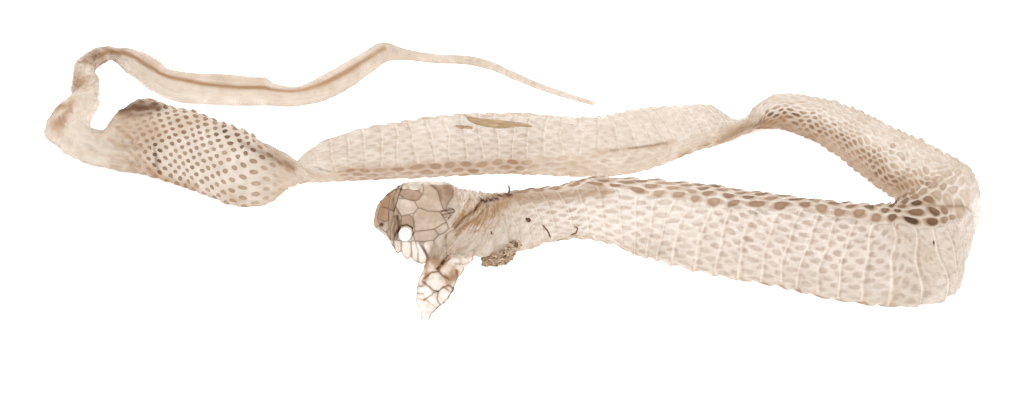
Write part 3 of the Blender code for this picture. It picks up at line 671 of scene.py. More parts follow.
def shed_keratin():
    """Dry shed keratin: satin, see-through, and browner where the scales held pigment. A noise's
    scale is its lumps in a metre, so 330 gives lumps 3 mm across."""
    material, tree, output = new_material("shed keratin, dry")
    place_in = node(tree, "TexCoord").node.outputs["Object"]
    tone, dot_length, dot_width, pattern, cover, veins, stain, dirt = [
        node(tree, "Attribute", attribute_name=name).node.outputs["Fac"] for name in (
            "tone", "dot_length", "dot_width", "pattern", "cover", "veins", "stain", "dirt")]

    # The scale lattice, bent a little so that no two scales are quite alike.
    bend = node(tree, "TexNoise", place_in, ("Scale", 170.0)).node.outputs["Color"]
    bend = node(tree, "VectorMath", bend, (0.5, 0.5, 0.5), operation="SUBTRACT")
    bend = node(tree, "VectorMath", bend, (0.6, 0.22, 0.0), operation="MULTIPLY")
    uv = node(tree, "UVMap", uv_map="UVMap")
    bent = node(tree, "VectorMath", uv, bend, operation="ADD")
    split = node(tree, "SeparateXYZ", bent).node
    row, scale = split.outputs["X"], split.outputs["Y"]

    # Small scales of the back, each a row apart and half a scale along from its neighbours, and
    # in each the dot of pigment.
    nearest = node(tree, "Math", row, 0.5, operation="ADD")
    nearest = node(tree, "Math", nearest, operation="FLOOR")
    parity = node(tree, "Math", nearest, 1.0, operation="PINGPONG")
    shifted = node(tree, "Math", parity, 0.5, scale, operation="MULTIPLY_ADD")
    along = node(tree, "Math", shifted, operation="FRACT")
    along = node(tree, "Math", along, 0.5, operation="SUBTRACT")
    across = node(tree, "Math", row, nearest, operation="SUBTRACT")
    in_scale = (node(tree, "Math", across, 2.2, operation="MULTIPLY"),
                node(tree, "Math", along, 2.15, operation="MULTIPLY"))
    in_dot = (node(tree, "Math", in_scale[0], dot_width, operation="DIVIDE"),
              node(tree, "Math", in_scale[1], dot_length, operation="DIVIDE"))
    ovals = [node(tree, "CombineXYZ", *place) for place in (in_dot, in_scale)]
    from_dot, from_middle = [
        node(tree, "VectorMath", oval, operation="LENGTH").node.outputs[1] for oval in ovals]
    dot = node(tree, "MapRange", from_dot, 1.2, 0.7, interpolation_type="SMOOTHSTEP")
    rim = node(tree, "MapRange", from_dot, 0.35, 0.95, -0.04, 0.05,
               interpolation_type="SMOOTHSTEP")
    whole_scale = node(tree, "MapRange", from_middle, 1.15, 0.92, interpolation_type="SMOOTHSTEP")

    # No two scales hold the same pigment. The fuller they are of it, the more they vary.
    cell = node(tree, "CombineXYZ", nearest, node(tree, "Math", shifted, operation="FLOOR"))
    chance = node(tree, "TexWhiteNoise", cell, noise_dimensions="3D")
    filled = node(tree, "MapRange", dot_length, 0.45, 0.75)
    spread = node(tree, "Math", filled, 0.28, 0.2, operation="MULTIPLY_ADD")
    uneven = node(tree, "Math", chance, 0.55, operation="SUBTRACT")
    uneven = node(tree, "Math", uneven, spread, 1.0, operation="MULTIPLY_ADD")
    dot_tone = node(tree, "Math", tone, uneven, operation="MULTIPLY")
    dot_tone = node(tree, "Math", dot_tone, rim, operation="ADD")
    between_dots, around_dot, dot_colour, bare = [
        with_stops(node(tree, "ValToRGB", amount), PIGMENT) for amount in (
            node(tree, "Math", tone, 0.14, operation="MULTIPLY"),
            node(tree, "Math", tone, 0.45, operation="MULTIPLY"), dot_tone, tone)]
    filled = node(tree, "Math", whole_scale, filled, operation="MULTIPLY")
    back = node(tree, "Mix", filled, (6, between_dots), (7, around_dot), data_type="RGBA")
    back = node(tree, "Mix", dot, (6, back), (7, dot_colour), data_type="RGBA")

    # Belly scales: clear plates with a doubled cream edge and a faint shadow behind it.
    side = node(tree, "Math", row, operation="ABSOLUTE")
    on_belly = node(tree, "MapRange", side, 9.3, 9.9, interpolation_type="SMOOTHSTEP")
    place = node(tree, "Math", scale, operation="FRACT")
    from_edge, from_shade = [
        node(tree, "Math", node(tree, "Math", place, middle, operation="SUBTRACT"),
             operation="ABSOLUTE") for middle in (0.92, 0.06)]
    faded = node(tree, "TexNoise", place_in, ("Scale", 110.0))
    faded = node(tree, "MapRange", faded, 0.35, 0.5, 0.35)
    edge = node(tree, "MapRange", from_edge, 0.07, 0.015, interpolation_type="SMOOTHSTEP")
    edge = node(tree, "Math", edge, faded, operation="MULTIPLY")
    shade = node(tree, "MapRange", from_shade, 0.12, 0.0, 0.0, 0.55,
                 interpolation_type="SMOOTHSTEP")
    belly = node(tree, "Mix", shade, (6, colour("#E8E1D8")), (7, colour("#BDAC9C")),
                 data_type="RGBA")
    belly = node(tree, "Mix", edge, (6, belly), (7, colour("#F4EDE2")), data_type="RGBA")
    whole = node(tree, "Mix", on_belly, (6, back), (7, belly), data_type="RGBA")
    whole = node(tree, "Mix", pattern, (6, bare), (7, whole), data_type="RGBA")

    # Mottling 3 mm across, and yellowed blots of 17 mm.
    mottle, blots = [node(tree, "TexNoise", place_in, ("Scale", lumps), ("Detail", 4.0))
                     for lumps in (330.0, 60.0)]
    mottle = node(tree, "MapRange", mottle, 0.38, 0.68, 0.0, 0.28)
    blots = node(tree, "MapRange", blots, 0.48, 0.75, 0.0, 0.28)
    whole = node(tree, "Mix", mottle, (6, whole), (7, colour("#B8AB9D")), data_type="RGBA",
                 blend_type="MULTIPLY")

    # Veins where the wet skin of the neck dried drawn into folds: long across the slant's width,
    # in a broad size and a fine one.
    folds = node(tree, "UVMap", uv_map="Folds")
    folds = node(tree, "VectorMath", folds, (0.13, 0.5, 0.0), operation="MULTIPLY")
    lines = []
    for size in (1.3, 2.9):
        line = node(tree, "TexNoise", folds, ("Scale", size), ("Distortion", 0.5))
        line = node(tree, "Math", line, 0.5, operation="SUBTRACT")
        line = node(tree, "Math", line, operation="ABSOLUTE")
        lines.append(node(tree, "MapRange", line, 0.05, 0.0, interpolation_type="SMOOTHSTEP"))
    broad, fine = lines
    fine = node(tree, "Math", fine, 0.8, operation="MULTIPLY")
    vein = node(tree, "Math", broad, fine, operation="MAXIMUM")
    vein = node(tree, "Math", vein, veins, operation="MULTIPLY")

    # Stains and dirt, which the doubled edges of the belly scales take up less.
    dirt = node(tree, "Math", vein, 0.26, dirt, operation="MULTIPLY_ADD")
    stain = node(tree, "Math", vein, 0.6, stain, operation="MULTIPLY_ADD")
    round_dirt = node(tree, "Math", dirt, 0.9, operation="MULTIPLY")
    stain = node(tree, "Math", stain, round_dirt, operation="MAXIMUM")
    doubled = node(tree, "Math", edge, on_belly, operation="MULTIPLY")
    on_line = node(tree, "Math", doubled, pattern, operation="MULTIPLY")
    on_line = node(tree, "Math", on_line, 0.6, operation="MULTIPLY")
    beside_line = node(tree, "Math", 1.0, on_line, operation="SUBTRACT")
    yellowed = node(tree, "Math", stain, blots, operation="MAXIMUM")
    yellowed = node(tree, "Math", yellowed, beside_line, operation="MULTIPLY")
    whole = node(tree, "Mix", yellowed, (6, whole), (7, colour("#B18F6B")), data_type="RGBA")
    whole = node(tree, "Mix", dirt, (6, whole), (7, colour("#4A2610")), data_type="RGBA")

    # The grain of dry skin, drawn half a millimetre across, coarser than it is, so that it shows.
    grain = node(tree, "TexNoise", place_in, ("Scale", 1800.0), ("Detail", 3.0))
    bump = node(tree, "Bump", ("Strength", 0.25), ("Distance", 0.08 * MM), ("Height", grain))

    # See-through share: the doubled edges, the brown scales and the dirt are the densest.
    clearer = node(tree, "Math", on_belly, pattern, operation="MULTIPLY")
    clearer = node(tree, "Math", clearer, 0.4, operation="MULTIPLY")
    clearer = node(tree, "Math", 1.0, clearer, operation="SUBTRACT")
    cover = node(tree, "Math", cover, clearer, operation="MULTIPLY")
    pigmented = node(tree, "Math", dot, dot_tone, operation="MULTIPLY")
    drawn, lined, mottled, stained, dirtied = [
        node(tree, "Math", amount, share, operation="MULTIPLY") for amount, share in (
            (pigmented, 0.5), (doubled, 0.3), (mottle, 0.3), (stain, 0.3), (dirt, 0.8))]
    drawn = node(tree, "Math", drawn, lined, operation="ADD")
    drawn = node(tree, "Math", drawn, pattern, operation="MULTIPLY")
    for part in (mottled, drawn, stained, dirtied):
        cover = node(tree, "Math", cover, part, operation="ADD")
    cover = node(tree, "Clamp", cover, 0.2, 0.98)
    skin = node(tree, "BsdfPrincipled", ("Base Color", whole), ("Roughness", 0.45), ("IOR", 1.54),
                ("Specular IOR Level", 0.12), ("Normal", bump))
    glow = node(tree, "BsdfTranslucent", whole, ("Normal", bump))
    body = node(tree, "MixShader", 0.4, skin, glow)
    clear = node(tree, "BsdfTransparent")
    surface = node(tree, "MixShader", cover, clear, body)
    tree.links.new(surface, output.inputs["Surface"])
    return material


keratin = shed_keratin()
skin_front = skin_length("skin_front", 19.0, 350.0, 128, 10)
skin_middle = skin_length("skin_middle", 350.0, 525.0, 128, 10)
skin_rear = skin_length("skin_rear", 525.0, TAIL_TIP, 92, 8)
for length in (skin_front, skin_middle, skin_rear):
    length.data.materials.append(keratin)
    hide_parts("shed_skin")
    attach(length, "root")


# ---------------------------------------------------------------------------------------------
# The head: the shield-like plates of the crown, fused in one thin shell with the lip scales
# hanging from both its sides. The skin of the lower jaw is torn away, so it is open below.
# ---------------------------------------------------------------------------------------------

# Where the plates end, by distance from the middle line, in mm.
HEAD_BACK = [(-13, 22.6), (-9.4, 22.4), (-4, 22.3), (-1.4, 22.2), (0.8, 21.4), (2.7, 20.6),
             (4.3, 20.8), (6.3, 18.9), (9.3, 18.2), (12.0, 17.0), (16, 16.2)]
HEAD_FRONT, HEAD_LENGTH = -1.2, 24.2   # mm: start of the sheet, ahead of the snout, and length
HEAD_GRID = (187, 143)            # columns and rows, fine enough for the seams
LIP_SHARE = 0.19                  # past this share of the way round the lips hang straight
CROWN_TURN = 0.235                # turn of the crown's middle line
SEAM_WIDTHS = (0.15, 0.5)         # half widths of a seam's groove and of the slope beside it
# How far the far side of the crown swells out, by length.
FAR_SWELL = [(-1, 1.0), (5, 0.9), (9, 0.4), (14, 0.0), (30, 0.0)]
# How far the shell reaches from the crown's middle line on each side, by length, in mm.
NEAR_LIP = [(-1, 3.2), (0, 4.4), (2.5, 6.4), (4.5, 7.6), (6, 9.4), (7.2, 11.9), (8, 12.4),
            (8.9, 11.6), (9.6, 13.2), (10.5, 13.9), (11.5, 12.9), (12.2, 13.9), (12.9, 14.4),
            (14, 14.9), (15.2, 14.6), (16.5, 13.6), (19, 13), (26, 12)]
FAR_LIP = [(-1, 3.2), (0, 4.4), (3, 7), (5, 9.4), (7, 11.9), (8, 11), (9.2, 13), (10.2, 11.9),
           (11.5, 13.6), (12.6, 12.4), (14, 14), (16, 13), (19, 13), (26, 12)]
# Plates of the crown, as they lie flat: brownness, relief in mm and outline, each point given by
# its length from the snout and its distance from the middle line, in mm.
HEAD_PLATES = [
    (0.45, 0.0, [(-1.2, -3.0), (0.6, -3.2), (0.5, 1.8), (2.2, 4.6), (-1.2, 3.8)]),
    (0.52, 0.05, [(0.6, -3.4), (1.4, -5.0), (3.4, -3.0), (4.0, -0.1), (0.5, -1.2)]),
    (0.50, 0.05, [(0.5, -1.2), (3.8, -0.1), (4.2, 0.8), (4.8, 3.3), (3.6, 3.6), (0.7, 2.1)]),
    (0.30, 0.05, [(0.7, 2.1), (3.6, 3.6), (4.8, 3.3), (5.2, 5.5), (4.5, 6.6), (2.4, 5.3)]),
    (0.48, -0.1, [(1.4, -5.0), (2.4, -6.4), (4.4, -7.9), (5.4, -8.2), (5.9, -3.7), (5.9, -0.8),
                  (5.6, 0.6), (4.0, -0.1), (3.4, -3.0)]),
    (0.50, -0.1, [(4.0, -0.1), (5.6, 0.6), (5.9, -0.8), (8.2, 1.7), (8.5, 4.2), (8.1, 6.5),
                  (7.8, 8.5), (5.8, 8.4), (4.5, 6.6), (5.2, 5.5), (4.8, 3.3), (4.2, 0.8)]),
    (0.24, 0.15, [(5.9, -2.8), (8.1, -3.1), (10.8, -2.8), (12.2, -1.0), (11.5, 0.5),
                  (9.9, 1.1), (8.2, 1.7), (6.8, 0.6), (5.9, -0.8)]),
    (0.60, 0.2, [(5.9, -3.7), (6.0, -5.5), (8.1, -6.4), (11.1, -6.2), (12.5, -5.2),
                 (11.9, -3.4), (10.8, -2.9), (8.1, -3.1)]),
    (0.05, 0.1, [(5.2, -8.2), (6.2, -10.2), (9.0, -10.8), (11.2, -10.4), (11.3, -6.3),
                 (8.1, -6.4), (6.0, -5.8)]),
    (0.58, 0.2, [(8.2, 1.8), (9.9, 1.1), (11.2, 1.6), (11.9, 3.0), (11.9, 4.9), (10.2, 4.1),
                 (8.5, 4.3)]),
    (0.34, 0.15, [(12.2, -1.0), (10.8, -2.9), (11.9, -3.4), (12.5, -5.2), (12.5, -6.3),
                  (11.3, -9.8), (12.1, -10.8), (14.4, -8.8), (17.0, -6.5), (17.8, -3.8),
                  (18.6, -1.3), (19.2, -0.6), (17.2, -0.2), (15.0, -0.2), (13.1, -0.9)]),
    (0.50, 0.0, [(14.2, -9.2), (17.1, -9.6), (21.4, -9.4), (21.8, -7.5), (21.1, -4.7),
                 (20.0, -3.2), (19.2, -0.6), (18.6, -1.3), (17.8, -3.8), (17.0, -6.5)]),
    (0.36, 0.15, [(12.2, -1.0), (13.1, -0.9), (15.0, -0.2), (17.2, -0.2), (18.0, 0.0),
                  (18.6, 0.6), (19.0, 1.6), (19.6, 2.7), (18.8, 3.2), (17.0, 4.8),
                  (15.0, 5.3), (12.5, 5.7), (11.9, 3.0), (11.2, 1.6), (11.5, 0.5)]),
    (0.36, 0.1, [(12.5, 5.7), (15.0, 5.3), (17.0, 4.8), (18.0, 6.3), (17.0, 7.7), (15.1, 8.3),
                 (12.8, 8.2), (12.2, 6.7)]),
    (0.32, 0.05, [(17.0, 4.8), (18.8, 3.2), (19.6, 2.7), (20.0, 4.3), (19.1, 5.7),
                  (18.0, 6.3)]),
    (0.12, 0.0, [(15.1, 8.3), (17.0, 7.7), (17.1, 9.3), (16.4, 11.3), (15.5, 12.2),
                 (14.6, 9.5)]),
    (0.50, 0.0, [(19.2, -0.6), (20.0, -1.4), (21.0, -1.3), (21.5, -0.5), (20.4, 0.2)]),
    (0.46, 0.0, [(18.0, 0.0), (19.2, -0.6), (20.4, 0.2), (20.4, 0.7), (19.0, 1.6)]),
    (0.08, 0.05, [(6.6, 8.6), (7.8, 8.5), (8.9, 8.5), (9.0, 10.0), (8.6, 13.5), (6.9, 13.0)]),
    (0.04, 0.05, [(8.9, 8.5), (10.4, 8.2), (11.7, 8.8), (11.8, 10.6), (11.4, 15), (9.0, 14)]),
    (0.03, 0.05, [(11.7, 8.4), (12.8, 8.2), (13.6, 10.7), (13.0, 16), (11.9, 15)]),
    (0.03, 0.05, [(12.8, 8.2), (14.6, 8.6), (15.7, 12.0), (15.4, 16.5), (13.6, 16.5),
                  (13.6, 10.7)]),
]
# Marks, as on the body, by length and distance from the middle line. The first rings the eye.
HEAD_MARKS = [
    ("dirt", 0.22, 0.7, [(10.0 + 2.15 * math.cos(turn / 8 * math.tau),
                          6.1 + 2.15 * math.sin(turn / 8 * math.tau)) for turn in range(9)]),
    ("stain", 0.5, 0.6, [(6.2, -9.4), (6.6, -7.4), (8.6, -6.6), (10.9, -6.8)]),
    ("stain", 2.6, 0.5, [(3.0, -4.0), (3.0, 3.0)]),
    ("stain", 1.6, 0.4, [(19.6, -9.0), (20.6, -6.0), (19.6, -3.5)]),
    ("dirt", 0.5, 0.75, [(6.9, 1.9), (7.7, 3.4), (7.9, 5.4), (7.2, 7.4)]),
    ("dirt", 0.3, 0.4, [(6.1, 2.0), (6.7, 4.0), (6.4, 6.5)]),
    ("dirt", 0.5, 0.6, [(1.5, -5.0), (2.5, -6.3), (4.4, -7.7)]),
    ("dirt", 0.4, 0.5, [(2.2, -4.0), (4.2, -5.6), (5.6, -5.8)]),
    ("dirt", 0.4, 0.4, [(4.6, -2.6), (5.3, -1.0), (5.2, 0.4)]),
    ("dirt", 0.55, 0.95, [(2.5, 4.1), (3.0, 4.4)]),
    ("dirt", 0.35, 0.5, [(-1.0, -3.0), (-1.0, 3.0)]),
    ("stain", 1.4, 0.7, [(1.8, -2.6), (1.8, 1.2)]),
    ("tone", 1.6, 0.35, [(19.8, -8.4), (20.6, -6.4)]),
    ("tone", 0.8, 0.3, [(14.2, -9.0), (17.0, -7.2), (18.0, -4.2)]),
    ("dirt", 0.18, 0.6, [(18.4, -0.4), (21.2, -1.0)]),
    ("dirt", 0.18, 0.6, [(18.8, 0.6), (21.2, -0.2)]),
    ("stain", 0.3, 0.5, [(9.0, 8.6), (9.1, 11.0), (8.7, 13.2)]),
    ("stain", 0.3, 0.5, [(11.7, 8.6), (11.9, 10.8), (11.6, 14.0)]),
    ("dirt", 0.25, 0.5, [(14.0, 8.8), (15.2, 11.0), (15.9, 13.4)]),
    ("stain", 1.0, 0.3, [(17.3, 9.0), (16.8, 12.0)]),
]


def add_thickness(item, thickness):
    """Give an open sheet its thickness in mm, half to each side."""
    thicken = item.modifiers.new("thickness", "SOLIDIFY")
    thicken.thickness = thickness * MM
    thicken.offset = 0.0
    bpy.context.view_layer.objects.active = item
    bpy.ops.object.modifier_apply(modifier=thicken.name)


def inside(outline, along, across):
    """Whether each point lies inside an outline."""
    result = np.zeros(along.shape, dtype=bool)
    for (a0, b0), (a1, b1) in zip(outline, outline[1:] + outline[:1]):
        if b0 != b1:
            crosses = (b0 > across) != (b1 > across)
            result ^= crosses & (along < (a1 - a0) * (across - b0) / (b1 - b0) + a0)
    return result


def head_shell():
    """The crown and both lips: a sheet bent round the head, with its plates and seams."""
    columns, rows = HEAD_GRID
    shell = new_grid("head_shell", columns, rows)
    at = HEAD_FRONT + HEAD_LENGTH * np.linspace(0, 1, rows + 1)
    middle, across, out, half_width, half_thickness = sections(np.maximum(at, 0))
    # The snout rounds off over its last millimetre.
    round_off = np.sqrt(np.clip(1 - (np.minimum(at, 0) / 1.25) ** 2, 0.004, 1))
    half_width, half_thickness = half_width * round_off, half_thickness * round_off
    forward = sections(np.array([0.0]))[0] - sections(np.array([1.0]))[0]
    forward[:, 2] = 0.0
    middle = middle + forward / np.linalg.norm(forward) * np.maximum(-at, 0)[:, None]
    swell = keyed(FAR_SWELL, at)[:, None]
    side = np.linspace(-1, 1, columns + 1)[None]
    reach = np.where(side > 0, keyed(NEAR_LIP, at)[:, None], keyed(FAR_LIP, at)[:, None])
    reach = reach * round_off[:, None] ** 0.5
    lateral = side * reach
    _, girth = turns(np.zeros((len(at), 1)), half_width, half_thickness)
    share = lateral / girth
    held = np.clip(share, -LIP_SHARE, LIP_SHARE)
    angle, _ = turns(held + CROWN_TURN, half_width, half_thickness)
    sine, cosine = np.sin(angle)[..., None], np.cos(angle)[..., None]
    wide, thick = half_width[:, None, None], half_thickness[:, None, None]
    points = middle[:, None] + across[:, None] * wide * cosine + out[:, None] * thick * sine
    slope = -across[:, None] * wide * sine + out[:, None] * thick * cosine
    slope /= np.linalg.norm(slope, axis=2, keepdims=True)
    normal = across[:, None] * thick * cosine + out[:, None] * wide * sine
    normal /= np.linalg.norm(normal, axis=2, keepdims=True)
    spare = ((share - held) * girth)[..., None]
    points += slope * spare - normal * 0.06 * spare ** 2
    points += across[:, None] * (swell * np.clip(-lateral / 4, 0, 1))[..., None]

    along = np.tile(at[:, None], (1, columns + 1))
    tone, height = np.full(along.shape, 0.2), np.zeros(along.shape)
    seam = np.zeros(along.shape)
    for brown, rise, outline in HEAD_PLATES:
        held_in = inside(outline, along, lateral)
        groove, slopes = [brushed([("seam", width, 1.0, outline + outline[:1])], "seam", along,
                                  lateral) for width in SEAM_WIDTHS]
        tone = np.where(held_in, brown, tone)
        seam = np.maximum(seam, groove)
        height = np.where(held_in, rise * (1 - slopes), height)
    flat = points.reshape(-1, 3)
    crumple = wavy(flat, 2.6, 1.3).reshape(along.shape)
    fine = wavy(flat, 1.0, 6.6).reshape(along.shape)
    band = np.exp(-((along - 5.4 - 0.12 * lateral) / 1.6) ** 2)
    ridges = np.sin((along + 0.25 * crumple) * 5.2) * band
    back_edge = np.interp(lateral, *zip(*HEAD_BACK)) + np.zeros(along.shape)
    behind = np.clip((along - back_edge + 0.3) / 0.8, 0, 1)
    height = (height - 0.14 * seam + 0.12 * crumple + 0.22 * ridges + 0.06 * fine
              + behind * (0.3 * crumple + 0.25 * fine) + 0.35 * np.clip((along - 17) / 4, 0, 1))
    points += normal * height[..., None]
    place_vertices(shell, points, lateral, along)
    add_map(shell.data.uv_layers.new(name="Folds"), lateral, along + 0.6 * lateral)

    def marked(kind):
        return brushed(HEAD_MARKS, kind, along, lateral)

    lips = np.clip((np.abs(lateral) - 8.3) / 1.0, 0, 1) * (along < 18)
    add_attribute(shell, "tone", (tone + marked("tone")) * 0.66 + 0.07 * fine)
    add_attribute(shell, "dot_length", np.ones_like(tone))
    add_attribute(shell, "dot_width", np.ones_like(tone))
    add_attribute(shell, "pattern", np.zeros_like(tone))
    add_attribute(shell, "cover", 0.93 - 0.36 * lips - 0.22 * behind * (1 - lips))
    rim = lips * np.exp(-((1 - np.abs(side)) * reach / 0.4) ** 2)
    add_attribute(shell, "stain", marked("stain") + 0.2 * np.clip(ridges, 0, 1) + 0.55 * rim
                  + 0.12 * behind * (1 - lips) + 0.05 * lips)
    add_attribute(shell, "veins", 0.7 * behind * (1 - lips))
    add_attribute(shell, "dirt", 0.5 * seam * (1 - 0.4 * lips) + 0.2 * rim + marked("dirt")
                  + 0.35 * np.clip(-ridges, 0, 1))

    # Behind the plates the shell is torn off along a ragged line.
    beyond = (along > back_edge + 0.7 + 0.8 * crumple + 0.5 * fine).ravel()
    mesh = bmesh.new()
    mesh.from_mesh(shell.data)
    mesh.verts.ensure_lookup_table()
    bmesh.ops.delete(mesh, geom=[vertex for vertex in mesh.verts if beyond[vertex.index]],
                     context="VERTS")
    mesh.to_mesh(shell.data)
    mesh.free()
    add_thickness(shell, 0.1)
    return shell


head = head_shell()
head.data.materials.append(keratin)
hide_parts("shed_skin")
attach(head, "root")


# ---------------------------------------------------------------------------------------------
# The eye caps: a snake sheds a clear domed window over each eye with the rest of its skin. They
# are set in the shell as two shallow glossy domes, and light shines through them.
# ---------------------------------------------------------------------------------------------

# Length from the snout, turn around the head's cross-section in degrees, radius and how far the
# dome stands out, in mm, for the near cap and the far one.
EYE_CAPS = {"eye_cap_near": (9.9, 125.0, 1.9, 0.5), "eye_cap_far": (9.6, 33.0, 1.8, 0.2)}
EYE_TINTS = {"eye_cap_near": ("#FFFFFF", "#E9EBE8"), "eye_cap_far": ("#EFE3D3", "#D2BFA8")}


def eye_window(clear_hex, cloudy_hex):
    """Clear keratin over a pale ground: glossy, so it keeps a small bright highlight."""
    material, tree, output = new_material("clear eye cap keratin")
    place_in = node(tree, "TexCoord").node.outputs["Object"]
    clouds = node(tree, "TexNoise", place_in, ("Scale", 900.0), ("Detail", 3.0))
    tint = node(tree, "Mix", clouds, (6, colour(clear_hex)), (7, colour(cloudy_hex)),
                data_type="RGBA")
    clear = node(tree, "BsdfPrincipled", ("Base Color", tint), ("Roughness", 0.18), ("IOR", 1.54))
    glow = node(tree, "BsdfTranslucent", tint)
    surface = node(tree, "MixShader", 0.3, clear, glow)
    tree.links.new(surface, output.inputs["Surface"])
    return material


for name, (at, turn, radius, dome) in EYE_CAPS.items():
    middle, across, out, half_width, half_thickness = sections(np.array([at]))
    turn = math.radians(turn)
    centre = Vector(middle[0] + across[0] * half_width[0] * math.cos(turn)
                    + out[0] * half_thickness[0] * math.sin(turn))
    outward = Vector(across[0] * half_thickness[0] * math.cos(turn)
                     + out[0] * half_width[0] * math.sin(turn)).normalized()
    bpy.ops.mesh.primitive_uv_sphere_add(segments=48, ring_count=24, radius=1.0)
    cap = bpy.context.object
    cap.name = cap.data.name = name
    facing = outward.to_track_quat("Z", "Y")
    for vertex in cap.data.vertices:
        x, y, z = vertex.co
        vertex.co = (centre + facing @ Vector((x * radius, y * radius, z * dome + 0.1))) * MM
    bpy.ops.object.shade_smooth()
    cap.data.materials.append(eye_window(*EYE_TINTS[name]))
    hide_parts("shed_skin")
    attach(cap, "root")


# ---------------------------------------------------------------------------------------------
# The skin of the lower jaw and throat: torn open along its middle, it hangs from inside the neck
# to the ground as one ragged strip. It is the clearest skin of all, crossed by the thickened
# brown joints of the chin shields.
# ---------------------------------------------------------------------------------------------

# Rows from inside the neck down to the tip on the ground: depth and height, in mm.
JAW_ROWS = [(-71.0, 16.5), (-76.0, 12.5), (-80.0, 9.6), (-84.0, 6.6), (-88.0, 3.8), (-91.5, 1.7),
            (-94.0, 0.6)]
JAW_ROW_LENGTH = 4.6              # mm between two of the rows
JAW_LOWEST = 0.12                 # mm above the ground
# Torn edges, and the joints between the shields, by row and by place across the layout in mm.
JAW_LEFT = [(0, -22.5), (0.9, -22.4), (1.3, -23.1), (1.8, -23.4), (2.2, -24.2), (2.6, -24.9),
            (3.2, -25.3), (3.8, -25.4), (4.3, -25.6), (4.7, -24.6), (5.0, -24.2), (6, -23.8)]
JAW_RIGHT = [(0, -10.3), (1.0, -9.9), (1.58, -10.8), (1.88, -12.5), (2.4, -13.4), (2.7, -14.6),
             (3.08, -15.3), (3.4, -15.6), (4.0, -17.2), (4.5, -19.1), (5.25, -21.2), (6, -21.9)]
JAW_MARKS = [
    ("dirt", 0.24, 0.75, [(0.85, -16.9), (1.1, -17.6), (1.53, -18.7), (1.9, -20.1)]),
    ("dirt", 0.22, 0.7, [(2.65, -23.9), (2.53, -23.1), (2.2, -21.9), (2.15, -19.8),
                         (2.45, -18.7), (2.6, -17.1)]),
    ("dirt", 0.22, 0.7, [(2.83, -24.1), (3.05, -22.2), (3.35, -21.0), (3.38, -19.7),
                         (3.08, -18.5), (3.03, -17.1), (3.3, -15.7)]),
    ("dirt", 0.20, 0.65, [(3.9, -23.4), (3.5, -21.0), (3.38, -19.7)]),
    ("dirt", 0.16, 0.6, [(3.18, -25.1), (3.08, -23.8)]),
    ("dirt", 0.16, 0.6, [(3.6, -25.2), (3.53, -23.7)]),
    ("dirt", 0.20, 0.6, [(3.38, -19.7), (3.88, -19.9), (4.4, -19.1)]),
    ("dirt", 0.16, 0.55, [(3.12, -18.2), (3.43, -16.8)]),
    ("stain", 0.45, 0.6, [(1.15, -22.7), (1.7, -23.3), (2.12, -23.2), (2.53, -23.1)]),
    ("dirt", 0.20, 0.6, [(2.15, -19.8), (1.88, -19.4), (1.6, -18.3), (1.23, -16.8)]),
    ("dirt", 0.16, 0.4, [(1.6, -15.2), (1.75, -13.2), (1.62, -11.8)]),
    ("dirt", 0.20, 0.7, [(2.1, -14.9), (2.48, -14.8)]),
    ("stain", 0.25, 0.6, [(3.95, -25.0), (3.95, -22.7), (4.3, -20.9), (4.58, -20.0)]),
    ("dirt", 0.26, 0.75, [(3.35, -15.8), (4.0, -17.2), (4.48, -19.1), (4.9, -20.4),
                          (5.5, -21.7)]),
    ("stain", 1.5, 1.0, [(2.3, -15.8), (2.75, -17.0)]),
    ("dirt", 0.8, 0.15, [(2.4, -16.0), (2.65, -16.6)]),
    ("stain", 1.4, 0.3, [(0.2, -18.6), (0.9, -20.4), (1.4, -21.8)]),
    ("stain", 1.0, 0.7, [(1.4, -20.6), (1.75, -20.4)]),
    ("stain", 0.7, 0.5, [(2.3, -22.8), (2.9, -23.6)]),
    ("dirt", 0.5, 0.95, [(1.5, -18.6), (1.6, -18.9)]),
    ("dirt", 0.4, 0.9, [(1.88, -20.0), (1.95, -20.2)]),
    ("dirt", 0.4, 0.9, [(2.68, -14.6), (2.74, -14.7)]),
]


def rumpled(first, second, size, seed):
    """Noise over the sheet, by two measures of each of its vertices."""
    places = np.stack([first, second, np.zeros_like(first)], axis=2).reshape(-1, 3)
    return wavy(places, size, seed).reshape(first.shape)


rows, columns = 150, 84
jaw = new_grid("jaw_skin", columns, rows)
drop = np.linspace(0, 6, rows + 1)[:, None] * np.ones((1, columns + 1))
side = np.linspace(0, 1, columns + 1)[None] * np.ones((rows + 1, 1))
ragged = 0.35 * rumpled(drop * 5.0, side * 3.0, 1.0, 2.2)
left_edge = np.interp(drop, *zip(*JAW_LEFT)) + ragged * (drop > 1)
right_edge = np.interp(drop, *zip(*JAW_RIGHT)) - ragged * (drop > 1)
x = left_edge + (right_edge - left_edge) * side
depths, heights = zip(*JAW_ROWS)
y = np.interp(drop, range(7), depths) - 1.2 * (1 - (2 * side - 1) ** 2)
z = np.interp(drop, range(7), heights)
puffs = rumpled(x, drop * 3.6, 3.2, 7.9)
fine = rumpled(x, drop * 3.6, 1.1, 4.4)
lift = (0.8 * puffs + 0.35 * fine) * np.clip(drop, 0, 1) * np.clip((6.2 - drop) / 1.5, 0, 1)
points = np.stack([x - LAYOUT_CENTRE[0], y - LAYOUT_CENTRE[1] - 0.5 * lift,
                   np.maximum(z + 0.85 * lift, JAW_LOWEST)], axis=2)
place_vertices(jaw, points, x, drop)
hang = drop * JAW_ROW_LENGTH


def jaw_marked(kind, widen=0.9, strengthen=0.85):
    """The strokes of one kind on the jaw skin, or of any kind."""
    lines = [(kind, widen * width, strengthen * strength,
              [(row * JAW_ROW_LENGTH, place) for row, place in line])
             for sort, width, strength, line in JAW_MARKS if kind in (sort, "any")]
    return brushed(lines, kind, hang, x)


